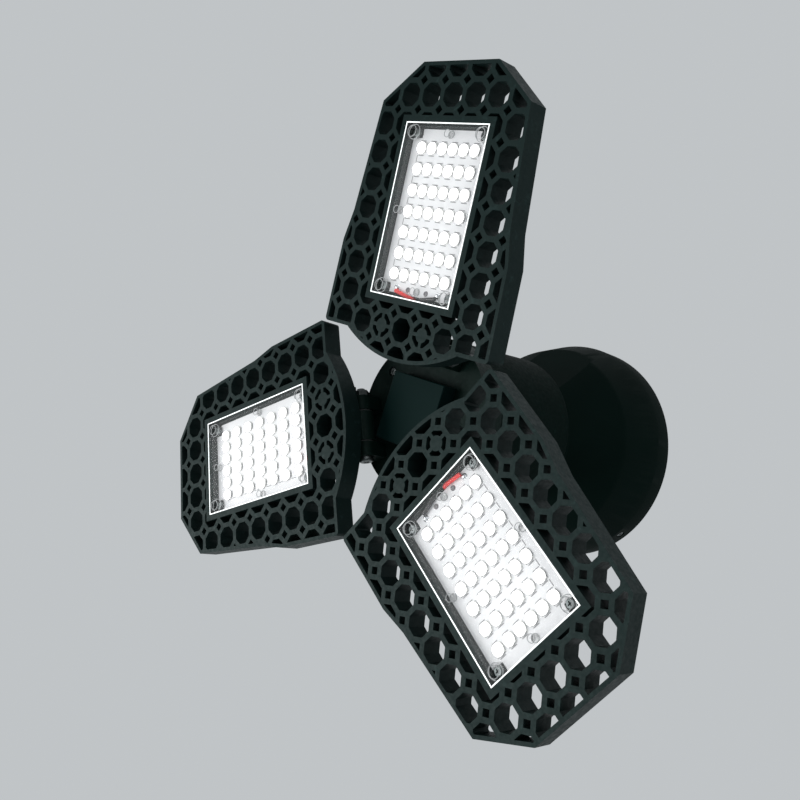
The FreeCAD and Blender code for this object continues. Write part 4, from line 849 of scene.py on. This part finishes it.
def board_marks(wing):
    """Short copper dashes on both sides of each row of emitters, joined by a stroke at one end."""
    matrix = hinge_place(wing)
    columns, rows = EMITTER_COLUMNS, EMITTER_ROWS
    pitch_across, pitch_along = EMITTER_PITCH
    span = ((columns - 1) * pitch_across, (rows - 1) * pitch_along)
    dash = (DASH_LENGTH, MARK_WIDTH, MARK_HEIGHT)
    stroke = (MARK_WIDTH, pitch_along - 2 * DASH_OFFSET, MARK_HEIGHT)
    for label, counts, spread, mark, across, along in (
        ("dashes_low", (columns, rows), span, dash, 0, -DASH_OFFSET),
        ("dashes_high", (columns, rows), span, dash, 0, DASH_OFFSET),
        ("strokes", (1, rows - 1), (0.0, span[1] - pitch_along), stroke, STROKE_OFFSET, 0),
    ):
        middle = (across, WINDOW_MIDDLE + along, BOARD_LEVEL - MARK_HEIGHT / 2)
        marks = block_grid(f"board_{label}_{wing}", TRACK, counts, spread, mark, middle, matrix)
        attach(marks, "wing_" + wing)


def domes(name, spots, profile, material, wing):
    """Small turned pieces that stand on the board."""
    bm = bmesh.new()
    for x, y in spots:
        before = set(bm.verts)
        lathe(bm, profile, 20)
        new = [vert for vert in bm.verts if vert not in before]
        bmesh.ops.translate(bm, vec=(x, WINDOW_MIDDLE + y, BOARD_LEVEL), verts=new)
    name = f"{name}_{wing}"
    piece = object_from(name, finished(mesh_from(bm, name, hinge_place(wing)), material))
    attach(piece, "wing_" + wing)


def board_terminals(wing):
    """Solder joints of the two leads, and two dark rivets beside them."""
    joint = [(0, -1.0), (0.6, -0.95), (1.1, -0.6), (1.45, -0.15), (1.55, 0.0), (0, 0.0)]
    domes("lead_joints", LEAD_JOINTS, joint, SOLDER, wing)
    rivet = [(0, -0.25), (0.55, -0.25), (0.65, -0.4), (1.1, -0.32), (1.25, 0.0), (0, 0.0)]
    domes("board_rivets", BOARD_RIVETS, rivet, RIVET, wing)


def wing_screws(wing):
    """Cover screws, bracket screws, and the hinge bolt with its nut."""
    cover_spots = window_places(wing, COVER_SCREWS, FRONT_LEVEL + WELL_DEPTH - SMALL_HEAD[1])
    place = rigid(hinge_place(wing))
    bracket_spots = [place @ faced((x, y, BRACKET_SEAT), (0, 0, -1)) for x, y in BRACKET_SCREWS]
    straight = rigid(hinge_place(wing, folded=False))
    bolt_spots = [straight @ faced((BOLT_REACH, 0, 0), (-1, 0, 0))]
    nut_spots = [straight @ faced((-BOLT_REACH - NUT_HEIGHT, 0, 0), (1, 0, 0))]
    for label, pattern, spots, body, slot in (
        ("cover_screws", COVER_SCREW, cover_spots, "wing_" + wing, "screw_dark"),
        ("bracket_screws", SUNK_SCREW, bracket_spots, "wing_" + wing, "screw_dark"),
        ("hinge_bolt", HINGE_BOLT, bolt_spots, "root", "bolt"),
        ("hinge_nut", HINGE_NUT, nut_spots, "root", "bolt"),
    ):
        piece = repeated(f"{label}_{wing}_finished", pattern, spots, DARK_ZINC)
        stand_in(piece, f"{label}_{wing}", body)


def wing_leads(wing):
    """The red and the black lead."""
    matrix = hinge_place(wing).inverted()
    for side, label, material in ((1, "red", RED_LEAD), (-1, "black", BLACK_LEAD)):
        piece = softened("board_leads_" + wing, material, 0.0,
                         keep=lambda centre: (matrix @ centre).x * side > 0, name=f"{label}_lead_{wing}")
        stand_in(piece, "board_leads_" + wing, "wing_" + wing)


def dress_wing(wing):
    """Everything that rides on a wing or sits in its hinge."""
    body = "wing_" + wing
    stand_in(softened_frame(wing), "wing_frame_" + wing, body)
    # the bracket's broken edges take a lighter finish: edge wear and a painted highlight
    piece = softened("hinge_bracket_" + wing, BRACKET_BLACK, 0.35, BRACKET_EDGE_WEAR_AND_HIGHLIGHT)
    stand_in(piece, "hinge_bracket_" + wing, body)
    cover_edge(wing)
    cover_rings(wing)
    board_marks(wing)
    board_terminals(wing)
    wing_screws(wing)
    wing_leads(wing)


for name in WINGS:
    dress_wing(name)

# ---------------------------------------------------------------------------
# Hub, housing and ceiling fitting
# ---------------------------------------------------------------------------

for node, material, edge, edge_material, slot, sharp in (
    # the hub body's broken edges take a lighter finish: edge wear and a painted highlight
    ("hub_body", HOUSING_BLACK, 0.4, HOUSING_EDGE_WEAR_AND_HIGHLIGHT, "housing", SHARP),
    ("hub_cap", CAP_GREEN, 0.5, None, "cap", SHARP),
    # the driver housing's darker coat is painted shade; its broken edges take the lighter hub coat as a
    # painted highlight
    ("driver_housing", DRIVER_SHADED_BLACK, 0.3, HOUSING_BLACK, "housing", SHARP),
    # the bell's darker moulding is partly painted shade
    ("canopy_shell", CANOPY_SHADED_BLACK, 0.35, None, "canopy", SHARP_BELL),
    ("back_plate", CANOPY_SHADED_BLACK, 0.3, None, "canopy", SHARP),
    ("socket_cup", INSULATOR, 0.3, None, "insulator", SHARP),
):
    piece = softened(node, material, edge, edge_material, sharp=sharp)
    stand_in(rounded_shading(piece), node, "root")


def around(radius, angles, height, along=None):
    """Places on a circle about the lamp's axis, facing along one direction or else inwards."""
    spots = []
    for angle in angles:
        turn = math.radians(angle)
        across, forth = math.cos(turn), math.sin(turn)
        spots.append(faced((radius * across, radius * forth, height), along or (-across, -forth, 0)))
    return spots


HOUSING_SCREW_SPOTS = around(HOUSING_SCREW_RADIUS, HOUSING_SCREW_ANGLES, HOUSING_SCREW_LEVEL, (0, 0, 1))
SIDE_SCREW_SPOTS = around(SIDE_SCREW_RADIUS, SIDE_SCREW_ANGLES, SIDE_SCREW_LEVEL)
for node, pattern, spots in (
    ("housing_screws", LONG_SCREW, HOUSING_SCREW_SPOTS),
    ("side_screws", SMALL_SCREW, SIDE_SCREW_SPOTS),
):
    stand_in(repeated(node + "_finished", pattern, spots, DARK_ZINC), node, "root")

for pattern in PATTERNS:
    drop(pattern)

# finishes of the pieces whose shape stays as it is
KEPT = {
    "socket_shell": BRASS, "socket_contact": BRASS, "terminal_screws": BRASS,
    "cup_screws": ZINC, "driver_screws": ZINC,
    "base_shell": NICKEL, "base_contact": NICKEL, "base_insulator": BEAD,
    "driver_board": BOARD_GREEN, "transformer": COIL_TAPE, "capacitors": CAN_SLEEVE,
    "board_chips": CHIP_BLACK,
}
for wing in WINGS:
    KEPT["led_board_" + wing] = BOARD_WHITE
    front = (hinge_place(wing).to_3x3() @ Vector((0, 0, -1))).normalized()
    foot = front.dot(hinge_place(wing) @ Vector((0, 0, BOARD_LEVEL - PACKAGE_DEPTH)))
    KEPT["leds_" + wing] = lit_lens("emitter lens " + wing, front, foot)
    KEPT["lens_cover_" + wing] = COVER
    KEPT["friction_washers_" + wing] = WASHER_GREY
for node, material in KEPT.items():
    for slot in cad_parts[node].material_slots:
        slot.material = material

# ---------------------------------------------------------------------------
# Floor, light and camera
# ---------------------------------------------------------------------------


def pale_floor():
    """A plain pale floor far below the lamp."""
    bm = bmesh.new()
    bmesh.ops.create_grid(bm, x_segments=1, y_segments=1, size=FLOOR_SIZE)
    mesh = mesh_from(bm, "floor", Matrix.Translation((0, 0, FLOOR_LEVEL)))
    finish = Finish("floor")
    finish.set(Base_Color=(0.72, 0.73, 0.74, 1), Roughness=0.9)
    mesh.materials.append(finish.material)
    floor = object_from("floor", mesh)


def soft_light(name, position, size, power):
    """A square soft box aimed at the lamp."""
    data = bpy.data.lights.new(name, "AREA")
    data.shape = "SQUARE"
    data.size = size
    data.energy = power
    lamp = bpy.data.objects.new(name, data)
    direction = Vector(LIGHTS_AIM) - Vector(position)
    lamp.matrix_world = (Matrix.Translation(position)
                         @ direction.to_track_quat("-Z", "Y").to_matrix().to_4x4())
    bpy.context.scene.collection.objects.link(lamp)


def pale_world(tone, strength):
    """Even light from all sides."""
    world = bpy.data.worlds.new("studio")
    world.use_nodes = True
    back = world.node_tree.nodes["Background"]
    back.inputs["Color"].default_value = (*tone, 1)
    back.inputs["Strength"].default_value = strength
    bpy.context.scene.world = world


def place_camera():
    """The photograph's view: from below, up at the ceiling."""
    data = bpy.data.cameras.new("camera")
    data.sensor_width = SENSOR_WIDTH
    data.lens = FOCAL_PIXELS / PHOTO_PIXELS * SENSOR_WIDTH
    data.clip_start = 0.01
    data.clip_end = 50.0
    camera = bpy.data.objects.new("camera", data)
    turn = Matrix((CAMERA_RIGHT, CAMERA_UP, -Vector(CAMERA_AHEAD))).transposed()
    camera.matrix_world = Matrix.Translation(CAMERA_PLACE) @ turn.to_4x4()
    bpy.context.scene.collection.objects.link(camera)
    bpy.context.scene.camera = camera


pale_floor()
pale_world((0.66, 0.69, 0.71), 0.8)
soft_light("key", (-0.6, 0.45, -0.95), 0.9, 12.0)
soft_light("fill", (0.75, -0.75, -0.75), 1.2, 2.5)
place_camera()
bpy.context.scene.view_settings.view_transform = "Standard"
